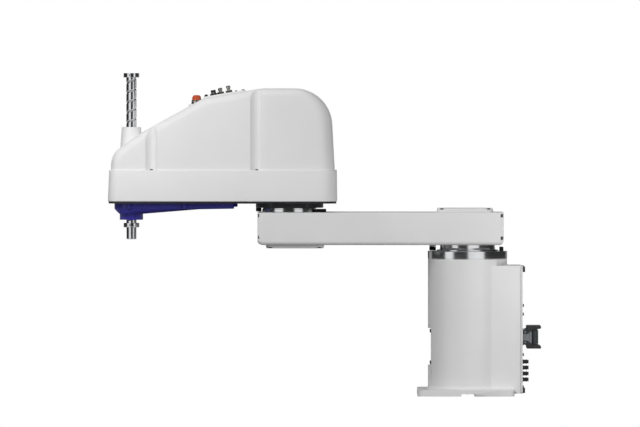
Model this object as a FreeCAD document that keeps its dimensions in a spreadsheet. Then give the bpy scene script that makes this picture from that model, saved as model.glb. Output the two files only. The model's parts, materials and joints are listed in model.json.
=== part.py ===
import FreeCAD, Part
import math
import os
from types import SimpleNamespace

import Sketcher
from FreeCAD import Rotation, Vector

# Four-axis SCARA robot arm, in millimetres. The origin is on the mounting plane, on the axis of
# joint 1; +X is the way the arms reach, +Y the robot's left side, +Z up.

doc = FreeCAD.newDocument("scara_robot")
sheet = doc.addObject("Spreadsheet::Sheet", "Sizes")

sizes = {
    # reach and travel
    "arm1_reach": 450,
    "arm2_reach": 400,
    "stroke": 180,
    # clearances: between bodies that move past each other, in turned fits, and around screws
    "moving_gap": 0.3,
    "fit_gap": 0.05,
    "loose_gap": 0.2,
    # base flange
    "flange_front": 127,
    "flange_back": 117,
    "flange_half": 120,
    "flange_thick": 16,
    "flange_corner": 14,
    "bolt_half_x": 100,
    "bolt_half_y": 100,
    "bolt_hole_radius": 7,
    "slot_width": 33,
    "slot_height": 6,
    "pin_radius": 3,
    "pin_length": 16,
    "pin_low": 1,
    "foot_fillet": 9,
    # base column and the connector box behind it
    "column_radius": 100,
    "column_top": 344,
    "column_wall": 12,
    "box_back": 134,
    "box_half": 80,
    "box_low": 6,
    "box_drop": 16,
    "box_wall": 9,
    "box_blend": 16,
    "box_corner": 6,
    "room_margin": 6,
    "room_floor": 10,
    "room_roof": 18,
    "room_corner": 8,
    # access plate in the column's front
    "window_face": 92.3,
    "window_low": 75.6,
    "window_height": 93.8,
    "window_half": 39.5,
    "window_screw_inset": 6.5,
    "window_screw_drop": 7.5,
    "plate_thick": 3,
    # rear plate and its screws
    "rear_plate_thick": 4,
    "rear_plate_margin": 0.6,
    "rear_big_inset": 9,
    "rear_big_low": 8,
    "rear_small_inset": 6,
    "rear_small_high": 228,
    "rear_small_middle": 206,
    "rear_small_low": 104,
    # main connector on the rear plate
    "connector_low": 126,
    "connector_height": 42,
    "connector_half": 45,
    "connector_depth": 23,
    "connector_wall": 3,
    "connector_corner": 4,
    "connector_room_corner": 2,
    "connector_window_inset": 8,
    "connector_pivot_radius": 2.5,
    "seal_inset": 1,
    "seal_depth": 5,
    "cap_depth": 12,
    "cap_step": 3,
    "cap_chamfer": 2,
    "lever_pivot_depth": 7,
    "lever_pivot_inset": 8,
    "lever_reach": 40,
    "lever_thick": 7.4,
    "lever_side": 3,
    "lever_clear": 0.4,
    "lever_heel": 4.5,
    "lever_toe": 5,
    "lever_shoulder": 3.5,
    "lever_knee": 18,
    "lever_bar_start": 3.7,
    "lever_round": 2,
    # push-in air fittings, two sizes in one column
    "fitting_length": 16,
    "fitting_radius": 5.75,
    "fitting_bore": 3,
    "fitting_bore_depth": 10,
    "fitting_sleeve": 4,
    "fitting_step": 1.5,
    "fitting_high": 84.7,
    "fitting_pitch": 15,
    # joint 1: fixed ring, bearing and turning hub
    "ring1_radius": 100.4,
    "ring1_height": 20,
    "ring1_floor": 5,
    "ring1_floor_bore": 40,
    "bearing1_outer": 70,
    "bearing1_inner": 55,
    "hub1_flange_radius": 77.5,
    "hub1_flange_thick": 3,
    "hub1_radius": 69.3,
    "hub1_step": 1.5,
    "hub1_cone": 5,
    "cable_bore": 20,
    "bearing_gap": 0.5,
    "post_radius": 4.8,
    "post_circle": 90,
    "post_angle": 162,
    "post_height": 10.3,
    "post_shank_radius": 2.5,
    "post_shank_length": 9,
    "stop1_near": 80,
    "stop1_far": 96.6,
    "stop1_half": 9,
    "stop1_drop": 17,
    "stop_round": 2,
    # motors
    "motor1_half": 50,
    "motor1_length": 120,
    "motor1_flange": 8,
    "motor1_corner": 10,
    "spindle1_radius": 9,
    "encoder1_radius": 38,
    "encoder_length": 35,
    "motor2_radius": 48,
    "motor2_length": 80,
    "encoder2_radius": 30,
    "motor_half": 30,
    "motor_corner": 6,
    "lift_motor_length": 56,
    "turn_motor_length": 72,
    "small_encoder_inset": 8,
    "small_encoder_length": 24,
    "spindle_depth": 9,
    # arm 1 beam
    "arm1_lift": 18.5,
    "arm1_height": 80,
    "arm1_half": 90,
    "arm1_behind": 90,
    "arm1_beyond": 80,
    "arm1_wall": 8,
    "arm1_floor": 10,
    "arm1_low_round": 10,
    "arm1_high_round": 3,
    "tunnel_round": 6,
    "nose_near": 9,
    "nose_rise": 5.2,
    "nose_low_round": 19.4,
    "nose_high_round": 9,
    "end_plate": 4.5,
    "end_chamfer": 1,
    "end_screw_low": 14.5,
    "end_screw_drop": 7.5,
    "end_head_radius": 3.2,
    "end_head_height": 2,
    "end_screw_bite": 8,
    # ribs, at two shares of the way along
    "rib1_share": 0.3,
    "rib2_share": 0.7,
    "rib_thick": 6,
    "rib_hole_radius": 22,
    "boss_thick": 9,
    "elbow_bore": 45,
    "hand_hole1": 50,
    "hand_hole2": 48,
    "hand_hole2_behind": 14,
    # covers over the two joints of arm 1
    "cover_thick": 10.5,
    "cover1_back": 64,
    "cover1_front": 77,
    "cover1_half": 72,
    "cover2_back": 87,
    "cover2_front": 59,
    "cover2_half": 70,
    "cover_round": 14,
    "cover_chamfer": 2,
    "cover_roof": 3,
    "cover_room_round": 6,
    "cover_screw_bite": 5,
    "cover_screw_inset": 11,
    # joint 2: ring on arm 1, flange under arm 2
    "ring2_radius": 69,
    "ring2_height": 10.5,
    "bearing2_outer": 52,
    "bearing2_inner": 40,
    "flange2_radius": 85.4,
    "flange2_thick": 11.2,
    "flange2_flat": 72.6,
    "flange2_chamfer": 1.5,
    "ring2_step": 1.5,
    "ring2_step_height": 3,
    "elbow_cable_bore": 15,
    "spigot2_depth": 16,
    "stop2_circle": 80.6,
    "stop2_side": 21.5,
    "stop2_half_length": 12,
    "stop2_half_width": 6.2,
    "stop2_height": 7.5,
    "bumper_near": 71,
    "bumper_far": 85,
    "bumper_half": 6,
    "bumper_drop": 9.3,
    # arm 2 casting: floor, rim, hubs and posts
    "floor_thick": 5,
    "floor_grow": 4,
    "rim_inset": 9,
    "rim_thick": 4,
    "rim_height": 18,
    "hub2_radius": 62,
    "hub2_height": 15.5,
    "quill_hub_radius": 30,
    "quill_hub_drop": 19,
    "quill_hub_rise": 5,
    # moulded cover of arm 2, side view
    "wall": 4,
    "skirt_height": 79,
    "skirt_step": 6,
    "skirt_chamfer": 1.5,
    "cover_ahead": 54.5,
    "nose_ahead": 48,
    "nose_height": 121.5,
    "nose_round": 24,
    "slope_behind": 24.3,
    "slope_height": 171.8,
    "slope_round": 60,
    "brow_behind": 183,
    "brow_height": 259.7,
    "brow_round": 40,
    "crown_beyond": 70,
    "roof_height": 285.1,
    "crown_round": 150,
    "rear_top_behind": 102.8,
    "rear_round": 86,
    "cover_behind": 118.4,
    "roof_drop": 4.6,
    "edge_round": 20,
    # moulded cover of arm 2, from above
    "rear_half": 100,
    "front_half": 72,
    "taper_beyond": 110,
    "taper_round": 300,
    "rear_corner": 42,
    "front_corner": 26,
    "plan_behind": 4,
    "plan_short": 2.5,
    # screw flutes, lamp seat and chimney of the cover
    "flute1_beyond": 81.5,
    "flute2_behind": 53,
    "flute_radius": 14,
    "flute_offset": 4,
    "shelf_thick": 4,
    "post2_radius": 4,
    "post2_inset": 4.7,
    "post2_hole_depth": 12,
    "lamp_behind": 165,
    "lamp_seat_radius": 17,
    "lamp_seat_height": 245.5,
    "chimney_radius": 24,
    "chimney_bore": 21.5,
    "chimney_height": 187.8,
    # blue cover under the shaft: places behind or ahead of the shaft, drops below arm 2's floor
    "blue_tab_behind": 268,
    "blue_rear_behind": 259,
    "blue_ahead": 43,
    "blue_half": 43,
    "blue_lip": 2,
    "blue_tab_drop": 8.5,
    "blue_rear_drop": 13.5,
    "blue_slope_behind": 172,
    "blue_slope_drop": 14.9,
    "blue_low_behind": 32,
    "blue_low_drop": 26.2,
    "blue_nose_ahead": 30,
    "blue_nose_round": 5,
    "blue_front_round": 8,
    "blue_wall": 3,
    "blue_boss_radius": 29.5,
    "blue_boss_drop": 41.7,
    "blue_ear_radius": 6.5,
    "blue_ear1_behind": 135,
    "blue_ear2_ahead": 5,
    # ball screw spline shaft and its two nuts
    "shaft_radius": 12.5,
    "spline_radius": 12.8,
    "shaft_bore": 9,
    "shaft_drop": 91,
    "shaft_chamfer": 1,
    "spline_start": 46,
    "spline_offset": 0.4,
    "spline_groove": 1.5,
    "spline_count": 3,
    "collar_radius": 19.85,
    "collar_height": 11,
    "collar_spare": 8.5,
    "low_collar_lift": 30.1,
    "nut_radius": 18.5,
    "nut_flange": 24,
    "nut_flange_thick": 4,
    "nut_bearing_radius": 26,
    "nut_bearing_height": 16,
    "nut_seat": 4,
    "nut_seat_floor": 2,
    "spline_nut_drop": 43.2,
    "spline_nut_rise": 30.5,
    "ball_nut_lift": 70.5,
    "ball_nut_length": 54,
    # belt drives, heights above the floor of arm 2
    "driven_radius": 30,
    "driver_radius": 15,
    "pulley_height": 16,
    "pulley_lip": 2,
    "lip_thick": 1.5,
    "belt_thick": 1.7,
    "turn_belt_lift": 9.5,
    "lift_belt_lift": 76.5,
    "turn_motor_behind": 200,
    "lift_motor_behind": 105,
    "motor_shaft_radius": 6,
    "motor_shaft_reach": 8,
    "bracket_thick": 8,
    "bracket_half": 46,
    "bracket_hole_gap": 6,
    "lift_bracket_lift": 98.5,
    "lift_bracket_back": 40,
    "lift_bracket_corner": 10,
    "turn_bracket_lift": 30.5,
    "turn_bracket_back": 38,
    "turn_bracket_front": 34,
    "turn_bracket_corner": 8,
    "turn_wall_thick": 6,
    "turn_wall_inset": 4,
    "leg_radius": 6,
    "leg_inset": 8,
    "leg_side_inset": 6,
    # things on top of arm 2, places counted along the roof from the panel's middle
    "panel_back": 53,
    "panel_front": 53,
    "panel_half": 35,
    "panel_thick": 4,
    "panel_corner": 6,
    "panel_chamfer": 1,
    "signal_along": 27,
    "signal_foot_length": 18,
    "signal_foot_width": 54,
    "signal_foot_corner": 3,
    "signal_foot_thick": 4,
    "signal_length": 12,
    "signal_width": 40,
    "signal_corner": 4,
    "signal_height": 9,
    "signal_wall": 1.4,
    "signal_depth": 7,
    "port1_ahead": 9,
    "port1_height": 15,
    "port2_behind": 12,
    "port2_height": 17,
    "port_radius": 5.5,
    "port_foot_radius": 7.5,
    "port_neck": 5,
    "port_bore_depth": 9,
    "lamp_base_radius": 13.5,
    "lamp_base_height": 10.5,
    "lamp_base_cone": 3,
    "lamp_base_step": 1.5,
    "lens_radius": 11.4,
    "lens_height": 12.5,
    "lens_shoulder": 5,
    "lens_step": 2.5,
    "button_inset": 6.5,
    "button_radius": 3.8,
    "button_rise": 3,
    "button_travel": 2.5,
    "button_gap": 0.15,
    "button_chamfer": 0.8,
    "bezel_height": 2,
    "bezel_foot": 1.5,
    "bezel_rim": 1,
    # fasteners
    "big_head_radius": 7,
    "big_head_height": 6,
    "small_head_radius": 3.8,
    "small_head_height": 3,
    "flat_head_height": 2,
    "cover_head_radius": 3.6,
    "cover_head_height": 2.5,
    "big_shank_radius": 3,
    "small_shank_radius": 1.8,
    "big_screw_length": 14,
    "small_screw_length": 12,
    "window_screw_length": 9,
    "cover_screw_length": 14,
    "hole_spare": 1,
    # how far one feature runs into the next, so that the two are one solid
    "bite": 0.5,
}


class Size:
    # A number together with the sheet expression that gives it, so that a sketch starts near its
    # solution and stays bound to the sheet.
    def __init__(self, value, text):
        self.value = value
        self.text = text

    def joined(self, sign, other, value):
        return Size(value, f"({self.text} {sign} {as_size(other).text})")

    def __add__(self, other):
        return self.joined("+", other, self.value + as_size(other).value)

    def __sub__(self, other):
        return self.joined("-", other, self.value - as_size(other).value)

    def __mul__(self, other):
        return self.joined("*", other, self.value * as_size(other).value)

    def __truediv__(self, other):
        return self.joined("/", other, self.value / as_size(other).value)

    def __radd__(self, other):
        return as_size(other) + self

    def __rsub__(self, other):
        return as_size(other) - self

    def __rmul__(self, other):
        return as_size(other) * self

    def __neg__(self):
        return Size(-self.value, f"(-1 * {self.text})")


def as_size(value):
    return value if isinstance(value, Size) else Size(float(value), f"({float(value)})")


def fill_sheet():
    named = {}
    for row, (name, value) in enumerate(sizes.items(), 1):
        sheet.set(f"A{row}", name)
        sheet.set(f"B{row}", str(value))
        sheet.setAlias(f"B{row}", name)
        named[name] = Size(float(value), f"Sizes.{name}")
    doc.recompute()
    return SimpleNamespace(**named)


s = fill_sheet()
# heights, from the mounting plane up
box_high = s.column_top - s.box_drop
window_high = s.window_low + s.window_height
connector_high = s.connector_low + s.connector_height
ring1_top = s.column_top + s.ring1_height
hub1_low = ring1_top + s.moving_gap
arm1_low = ring1_top + s.arm1_lift
arm1_high = arm1_low + s.arm1_height
ring2_top = arm1_high + s.ring2_height
flange2_low = ring2_top + s.moving_gap
floor_low = flange2_low + s.flange2_thick
cover_low = floor_low + s.floor_thick
skirt_top = cover_low + s.skirt_height
shelf_low = skirt_top - s.shelf_thick
roof_top = cover_low + s.roof_height
brow_z = cover_low + s.brow_height
lamp_seat_z = cover_low + s.lamp_seat_height
blue_rear_z = floor_low - s.blue_rear_drop
blue_boss_z = floor_low - s.blue_boss_drop
turn_belt_z = cover_low + s.turn_belt_lift
lift_belt_z = cover_low + s.lift_belt_lift
turn_bracket_z = cover_low + s.turn_bracket_lift
lift_bracket_z = cover_low + s.lift_bracket_lift
ball_nut_low = cover_low + s.ball_nut_lift
ball_nut_high = ball_nut_low + s.ball_nut_length
shaft_low = floor_low - s.shaft_drop
# the upper collar stops above the ball screw nut at the end of the stroke
shaft_length = ball_nut_high - shaft_low + s.collar_spare + s.stroke + s.collar_height

# places along the arms
rear_face = -1 * (s.box_back + s.rear_plate_thick)
elbow_x = s.arm1_reach
shaft_x = s.arm1_reach + s.arm2_reach
cover_rear = elbow_x - s.cover_behind
cover_front = shaft_x + s.cover_ahead
brow_x = shaft_x - s.brow_behind
crown_x = elbow_x + s.crown_beyond
taper_start = elbow_x + s.taper_beyond
flute1_x = elbow_x + s.flute1_beyond
flute2_x = shaft_x - s.flute2_behind
lamp_x = shaft_x - s.lamp_behind
lift_motor_x = shaft_x - s.lift_motor_behind
turn_motor_x = shaft_x - s.turn_motor_behind
blue_front = shaft_x + s.blue_ahead

small_hole = s.small_shank_radius + s.loose_gap
big_hole = s.big_shank_radius + s.loose_gap


# Binding, placing and sketching

def bind(item, path, value):
    item.setExpression(path, as_size(value).text)


def place(item, x=0, y=0, z=0):
    for axis, value in zip("xyz", (x, y, z)):
        bind(item, "Placement.Base." + axis, value)


def new_body(name, x=0, y=0, z=0):
    body = doc.addObject("PartDesign::Body", name)
    body.Label = name
    place(body, x, y, z)
    return body


def sketch_on(body, role, x=0, y=0, z=0):
    sketch = body.newObject("Sketcher::SketchObject", body.Name + "Sketch")
    plane = next(item for item in body.Origin.OriginFeatures if item.Role == role)
    sketch.AttachmentSupport = (plane, "")
    sketch.MapMode = "FlatFace"
    for axis, value in zip("xyz", (x, y, z)):
        bind(sketch, "AttachmentOffset.Base." + axis, value)
    return sketch


def constrain(sketch, rules):
    # Each rule is a constraint and the size that drives it, or None.
    numbers = sketch.addConstraint([rule for rule, _ in rules])
    for number, (_, value) in zip(numbers, rules):
        if value is not None:
            sketch.setExpression(f"Constraints[{number}]", value.text)


def pinned(item, end, x, y):
    return [
        (Sketcher.Constraint("DistanceX", -1, 1, item, end, x.value), x),
        (Sketcher.Constraint("DistanceY", -1, 1, item, end, y.value), y),
    ]


def outline(sketch, corners):
    # A closed outline through the corners (x, y) or (x, y, radius), each corner held from the origin.
    spots = [tuple(as_size(value) for value in (*corner, 0)[:3]) for corner in corners]
    points = [Vector(x.value, y.value, 0) for x, y, _ in spots]
    count = len(points)
    ends = []
    for i, (_, _, radius) in enumerate(spots):
        back = (points[i - 1] - points[i]).normalize()
        ahead = (points[(i + 1) % count] - points[i]).normalize()
        half = back.getAngle(ahead) / 2
        reach = radius.value / math.tan(half)
        centre = points[i] + (back + ahead).normalize() * (radius.value / math.sin(half))
        left_turn = (-back).cross(ahead).z > 0
        ends.append((points[i] + back * reach, points[i] + ahead * reach, centre, left_turn))
    lines = []
    for i in range(count):
        segment = Part.LineSegment(ends[i][1], ends[(i + 1) % count][0])
        lines.append(sketch.addGeometry(segment))
    rules = []
    for i, (x, y, radius) in enumerate(spots):
        before, after = lines[i - 1], lines[i]
        if radius.value == 0:
            rules.append((Sketcher.Constraint("Coincident", before, 2, after, 1), None))
            rules += pinned(after, 1, x, y)
            continue
        start, finish, centre, left_turn = ends[i]
        first, last = (start, finish) if left_turn else (finish, start)
        angles = [math.atan2(end.y - centre.y, end.x - centre.x) for end in (first, last)]
        circle = Part.Circle(centre, Vector(0, 0, 1), radius.value)
        arc = sketch.addGeometry(Part.ArcOfCircle(circle, *angles))
        near, far = (1, 2) if left_turn else (2, 1)
        corner = sketch.addGeometry(Part.Point(points[i]), True)
        rules += [
            (Sketcher.Constraint("Tangent", before, 2, arc, near), None),
            (Sketcher.Constraint("Tangent", arc, far, after, 1), None),
            (Sketcher.Constraint("PointOnObject", corner, 1, before), None),
            (Sketcher.Constraint("PointOnObject", corner, 1, after), None),
            (Sketcher.Constraint("Radius", arc, radius.value), radius),
        ]
        rules += pinned(corner, 1, x, y)
    constrain(sketch, rules)


def rectangle(sketch, x1, x2, y1, y2, radius=0):
    outline(sketch, [(x1, y1, radius), (x2, y1, radius), (x2, y2, radius), (x1, y2, radius)])


def circles(sketch, centres, radius):
    radius = as_size(radius)
    for x, y in centres:
        x, y = as_size(x), as_size(y)
        shape = Part.Circle(Vector(x.value, y.value, 0), Vector(0, 0, 1), radius.value)
        item = sketch.addGeometry(shape)
        size = (Sketcher.Constraint("Radius", item, radius.value), radius)
        constrain(sketch, [size] + pinned(item, 3, x, y))


def belt_line(sketch, distance, large, small):
    # Two arcs around the origin and around a second centre, joined by their outer tangents.
    distance, large, small = as_size(distance), as_size(large), as_size(small)
    lean = math.acos((small.value - large.value) / distance.value)
    up = Vector(0, 0, 1)
    far = Vector(distance.value, 0, 0)
    tip = Vector(math.cos(math.pi - lean), math.sin(math.pi - lean), 0)
    mirror = Vector(tip.x, -tip.y, 0)
    big = sketch.addGeometry(
        Part.ArcOfCircle(Part.Circle(Vector(), up, large.value), math.pi - lean, math.pi + lean)
    )
    little = sketch.addGeometry(
        Part.ArcOfCircle(Part.Circle(far, up, small.value), lean - math.pi, math.pi - lean)
    )
    top = sketch.addGeometry(Part.LineSegment(far + tip * small.value, tip * large.value))
    base = sketch.addGeometry(Part.LineSegment(mirror * large.value, far + mirror * small.value))
    rules = [
        (Sketcher.Constraint("Tangent", little, 2, top, 1), None),
        (Sketcher.Constraint("Tangent", top, 2, big, 1), None),
        (Sketcher.Constraint("Tangent", big, 2, base, 1), None),
        (Sketcher.Constraint("Tangent", base, 2, little, 1), None),
        (Sketcher.Constraint("Radius", big, large.value), large),
        (Sketcher.Constraint("Radius", little, small.value), small),
    ]
    rules += pinned(big, 3, as_size(0), as_size(0))
    rules += pinned(little, 3, distance, as_size(0))
    constrain(sketch, rules)


# Features of a body

def grown(body, kind, sketch, length, reverse, both):
    feature = body.newObject("PartDesign::" + kind, body.Name + kind)
    feature.Profile = sketch
    bind(feature, "Length", length)
    feature.Reversed = reverse
    feature.Midplane = both
    return feature


def pad(body, sketch, length, reverse=False, both=False):
    return grown(body, "Pad", sketch, length, reverse, both)


def pocket(body, sketch, length, reverse=False, both=False):
    # The volume must fall, because a pocket that points away from the solid cuts nothing.
    doc.recompute()
    before = body.Tip.Shape.Volume
    feature = grown(body, "Pocket", sketch, length, reverse, both)
    doc.recompute()
    if feature.Shape.isNull() or feature.Shape.Volume > before - 1e-3:
        raise ValueError(f"{feature.Name} cuts nothing")
    return feature


def revolve(body, corners, role="XZ_Plane"):
    # A turned piece: the outline gives (radius, height) around the body's own Z axis.
    sketch = sketch_on(body, role)
    outline(sketch, corners)
    feature = body.newObject("PartDesign::Revolution", body.Name + "Turned")
    feature.Profile = sketch
    feature.ReferenceAxis = (sketch, ["V_Axis"])
    feature.Angle = 360
    return feature


def soften(body, kind, size, test):
    # Fillets or chamfers the edges that the test picks by where they lie.
    doc.recompute()
    base = body.Tip
    edges = [f"Edge{n}" for n, edge in enumerate(base.Shape.Edges, 1) if test(edge)]
    if not edges:
        raise ValueError(f"{body.Name} has no edge to soften")
    feature = body.newObject("PartDesign::" + kind, body.Name + kind)
    feature.Base = (base, edges)
    bind(feature, "Radius" if kind == "Fillet" else "Size", size)
    return feature


def drill(body, role, level, centres, radius, depth, reverse=False):
    sketch = sketch_on(body, role, z=level)
    circles(sketch, centres, radius)
    return pocket(body, sketch, depth, reverse)


def near(value, target, slack=0.05):
    return abs(value - as_size(target).value) < slack


def span(edge):
    # The ends and the middle of an edge.
    first, last = edge.ParameterRange
    return [edge.valueAt(first), edge.valueAt(last), edge.valueAt((first + last) / 2)]


def corner_edges(edge):
    # Straight edges along Z.
    ends = span(edge)
    return near(ends[0].x, ends[1].x) and near(ends[0].y, ends[1].y) and len(edge.Vertexes) == 2


# Part primitives and booleans

def cylinder(name, radius, height, x=0, y=0, z=0):
    item = doc.addObject("Part::Cylinder", name)
    bind(item, "Radius", radius)
    bind(item, "Height", height)
    place(item, x, y, z)
    return item


def fused(name, items):
    item = doc.addObject("Part::MultiFuse", name)
    item.Shapes = items
    return item


def cut(name, base, tool):
    item = doc.addObject("Part::Cut", name)
    item.Base = base
    item.Tool = tool
    return item


ways = {
    "+X": Rotation(Vector(0, 0, 1), Vector(1, 0, 0)),
    "-X": Rotation(Vector(0, 0, 1), Vector(-1, 0, 0)),
    "+Z": Rotation(),
    "-Z": Rotation(Vector(1, 0, 0), 180),
}


def screws(name, way, seats, head_radius, head_height, shank_radius, shank_length):
    # Round-head screws as one group: each head stands on its seat, its shank goes the other way.
    sign = 1 if way[0] == "+" else -1
    members = []
    for number, seat in enumerate(seats, 1):
        head = doc.addObject("Part::Cylinder", f"{name}_head{number}")
        bind(head, "Radius", head_radius)
        bind(head, "Height", head_height)
        shank = doc.addObject("Part::Cylinder", f"{name}_shank{number}")
        bind(shank, "Radius", shank_radius)
        bind(shank, "Height", shank_length)
        foot = list(seat)
        axis = "XYZ".index(way[1])
        foot[axis] = seat[axis] - sign * as_size(shank_length)
        for item, spot in ((head, seat), (shank, foot)):
            item.Placement.Rotation = ways[way]
            place(item, *spot)
        members.append(fused(f"{name}_{number}", [head, shank]))
    group = doc.addObject("Part::Compound", name)
    group.Links = members
    group.Label = name
    return group


def both_sides(*spots):
    return [(x, side * as_size(y)) for x, y in spots for side in (1, -1)]


parts = []


def keep(item):
    parts.append(item)
    return item


# Base

def window_screw_spots():
    return [
        (side * (s.window_half - s.window_screw_inset), height)
        for side in (1, -1)
        for height in (s.window_low + s.window_screw_inset, window_high - s.window_screw_drop)
    ]


def rear_big_spots():
    # Across and up, in the rear plate's own plane.
    return [
        (side * (s.box_half - s.rear_big_inset), height)
        for side in (1, -1)
        for height in (s.box_low + s.rear_big_low, box_high - s.rear_big_inset)
    ]


def rear_small_spots():
    across = s.box_half - s.rear_small_inset
    heights = (s.rear_small_high, s.rear_small_middle, s.rear_small_low)
    return [(side * across, height) for side in (1, -1) for height in heights]


def base_casting():
    body = new_body("base_casting")
    flange = sketch_on(body, "XY_Plane")
    rectangle(flange, -s.flange_back, s.flange_front, -s.flange_half, s.flange_half, s.flange_corner)
    pad(body, flange, s.flange_thick)
    column = sketch_on(body, "XY_Plane", z=s.flange_thick / 2)
    circles(column, [(0, 0)], s.column_radius)
    pad(body, column, s.column_top - s.flange_thick / 2)
    box = sketch_on(body, "XY_Plane", z=s.box_low)
    back, half, corner = -s.box_back, s.box_half, s.box_corner
    outline(box, [(back, -half, corner), (0, -half), (0, half), (back, half, corner)])
    pad(body, box, box_high - s.box_low)

    def blend(edge):
        ends = span(edge)
        middle = ends[2]
        on_column = near(math.hypot(middle.x, middle.y), s.column_radius)
        return corner_edges(edge) and on_column and middle.z > s.flange_thick.value

    soften(body, "Fillet", s.box_blend, blend)

    def foot(edge):
        ends = span(edge)
        level = all(near(end.z, s.flange_thick) for end in ends)
        inside = all(end.x < s.flange_front.value - 1 for end in ends)
        clear = all(abs(end.y) < s.flange_half.value - 1 for end in ends)
        return level and inside and clear and not near(ends[2].x, -s.flange_back)

    soften(body, "Fillet", s.foot_fillet, foot)
    window = sketch_on(body, "YZ_Plane", z=s.window_face - s.plate_thick)
    rectangle(window, -s.window_half, s.window_half, s.window_low, window_high)
    pocket(body, window, s.column_radius, True)
    well = sketch_on(body, "XY_Plane", z=s.column_top)
    circles(well, [(0, 0)], s.column_radius - s.column_wall)
    pocket(body, well, s.column_top - s.flange_thick - s.slot_height)
    room = sketch_on(body, "YZ_Plane", z=-s.box_back)
    inner = s.box_half - s.box_wall - s.room_margin
    low, high = s.flange_thick + s.room_floor, box_high - s.room_roof
    rectangle(room, -inner, inner, low, high, s.room_corner)
    pocket(body, room, s.box_back - s.column_radius / 2, True)
    slot = sketch_on(body, "XZ_Plane")
    rectangle(slot, -s.slot_width / 2, s.slot_width / 2, -1, s.slot_height)
    pocket(body, slot, 2.5 * s.flange_half, both=True)
    bolts = both_sides((s.bolt_half_x, s.bolt_half_y), (-s.bolt_half_x, s.bolt_half_y))
    drill(body, "XY_Plane", 0, bolts, s.bolt_hole_radius, s.flange_thick, True)
    pin_depth = s.pin_low + s.pin_length - s.slot_height + s.hole_spare
    drill(body, "XY_Plane", s.slot_height, [(0, 0)], s.pin_radius, pin_depth, True)
    near_face = s.window_face - s.plate_thick
    depth = s.window_screw_length - s.plate_thick + s.hole_spare
    drill(body, "YZ_Plane", near_face, window_screw_spots(), small_hole, depth)
    depth = s.big_screw_length - s.rear_plate_thick + s.hole_spare
    drill(body, "YZ_Plane", -s.box_back, rear_big_spots(), big_hole, depth, True)
    drill(body, "YZ_Plane", -s.box_back, rear_small_spots(), small_hole, depth, True)
    return keep(body)


def locating_pin():
    pin = cylinder("base_locating_pin", s.pin_radius - s.fit_gap / 2, s.pin_length, z=s.pin_low)
    pin.Label = pin.Name
    return keep(pin)


def front_access_plate():
    body = new_body("front_access_plate")
    sketch = sketch_on(body, "YZ_Plane", z=s.window_face - s.plate_thick)
    edge = s.window_half - s.moving_gap
    low, high = s.window_low + s.moving_gap, window_high - s.moving_gap
    rectangle(sketch, -edge, edge, low, high)
    pad(body, sketch, s.plate_thick)
    spots = window_screw_spots()
    drill(body, "YZ_Plane", s.window_face, spots, small_hole, s.plate_thick)
    keep(body)
    seats = [(s.window_face, across, up) for across, up in spots]
    heads = (s.small_head_radius, s.small_head_height)
    shank = (s.small_shank_radius, s.window_screw_length)
    keep(screws("front_plate_screws", "+X", seats, *heads, *shank))


def rear_plate():
    body = new_body("rear_plate")
    sketch = sketch_on(body, "YZ_Plane", z=-s.box_back)
    edge, high = s.box_half - s.rear_plate_margin, box_high - s.rear_plate_margin
    rectangle(sketch, -edge, edge, s.box_low, high, s.box_corner)
    pad(body, sketch, s.rear_plate_thick, True)
    # window behind the main connector, for its wires
    window = sketch_on(body, "YZ_Plane", z=rear_face)
    inset = s.connector_window_inset
    inner, low, high = s.connector_half - inset, s.connector_low + inset, connector_high - inset
    rectangle(window, -inner, inner, low, high, s.connector_corner)
    pocket(body, window, s.rear_plate_thick, True)
    thick = s.rear_plate_thick
    drill(body, "YZ_Plane", rear_face, rear_big_spots(), big_hole, thick, True)
    drill(body, "YZ_Plane", rear_face, rear_small_spots(), small_hole, thick, True)
    keep(body)
    big = [(rear_face, across, up) for across, up in rear_big_spots()]
    small = [(rear_face, across, up) for across, up in rear_small_spots()]
    head = (s.big_head_radius, s.big_head_height)
    shank = (s.big_shank_radius, s.big_screw_length)
    keep(screws("rear_plate_big_screws", "-X", big, *head, *shank))
    head = (s.small_head_radius, s.small_head_height)
    shank = (s.small_shank_radius, s.small_screw_length)
    keep(screws("rear_plate_small_screws", "-X", small, *head, *shank))


def lever_pivots():
    # The locking levers turn about these two lines along Y: x, z and the lever's side.
    x = rear_face - s.lever_pivot_depth
    return [
        (x, connector_high - s.lever_pivot_inset, 1),
        (x, s.connector_low + s.lever_pivot_inset, -1),
    ]


def main_connector():
    housing = new_body("connector_housing")
    sketch = sketch_on(housing, "YZ_Plane", z=rear_face)
    half, low, high = s.connector_half, s.connector_low, connector_high
    rectangle(sketch, -half, half, low, high, s.connector_corner)
    pad(housing, sketch, s.connector_depth, True)
    room = sketch_on(housing, "YZ_Plane", z=rear_face)
    wall = s.connector_wall
    corner = s.connector_room_corner
    rectangle(room, -half + wall, half - wall, low + wall, high - wall, corner)
    pocket(housing, room, s.connector_depth)
    for x, z, _ in lever_pivots():
        pivot = sketch_on(housing, "XZ_Plane")
        circles(pivot, [(x, z)], s.connector_pivot_radius)
        pad(housing, pivot, 2 * (half + s.moving_gap + s.lever_side), both=True)
    keep(housing)
    seal = new_body("connector_seal")
    ring = sketch_on(seal, "YZ_Plane", z=rear_face - s.connector_depth)
    step = s.seal_inset
    rectangle(ring, -half + step, half - step, low + step, high - step, s.connector_corner - step)
    pad(seal, ring, s.seal_depth, True)
    keep(seal)
    cap = new_body("connector_cap")
    front = sketch_on(cap, "YZ_Plane", z=rear_face - s.connector_depth - s.seal_depth)
    step = s.cap_step
    rectangle(front, -half + step, half - step, low + step, high - step, s.connector_corner)
    pad(cap, front, s.cap_depth, True)
    face = rear_face - s.connector_depth - s.seal_depth - s.cap_depth
    soften(cap, "Chamfer", s.cap_chamfer, lambda edge: all(near(end.x, face) for end in span(edge)))
    keep(cap)


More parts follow.
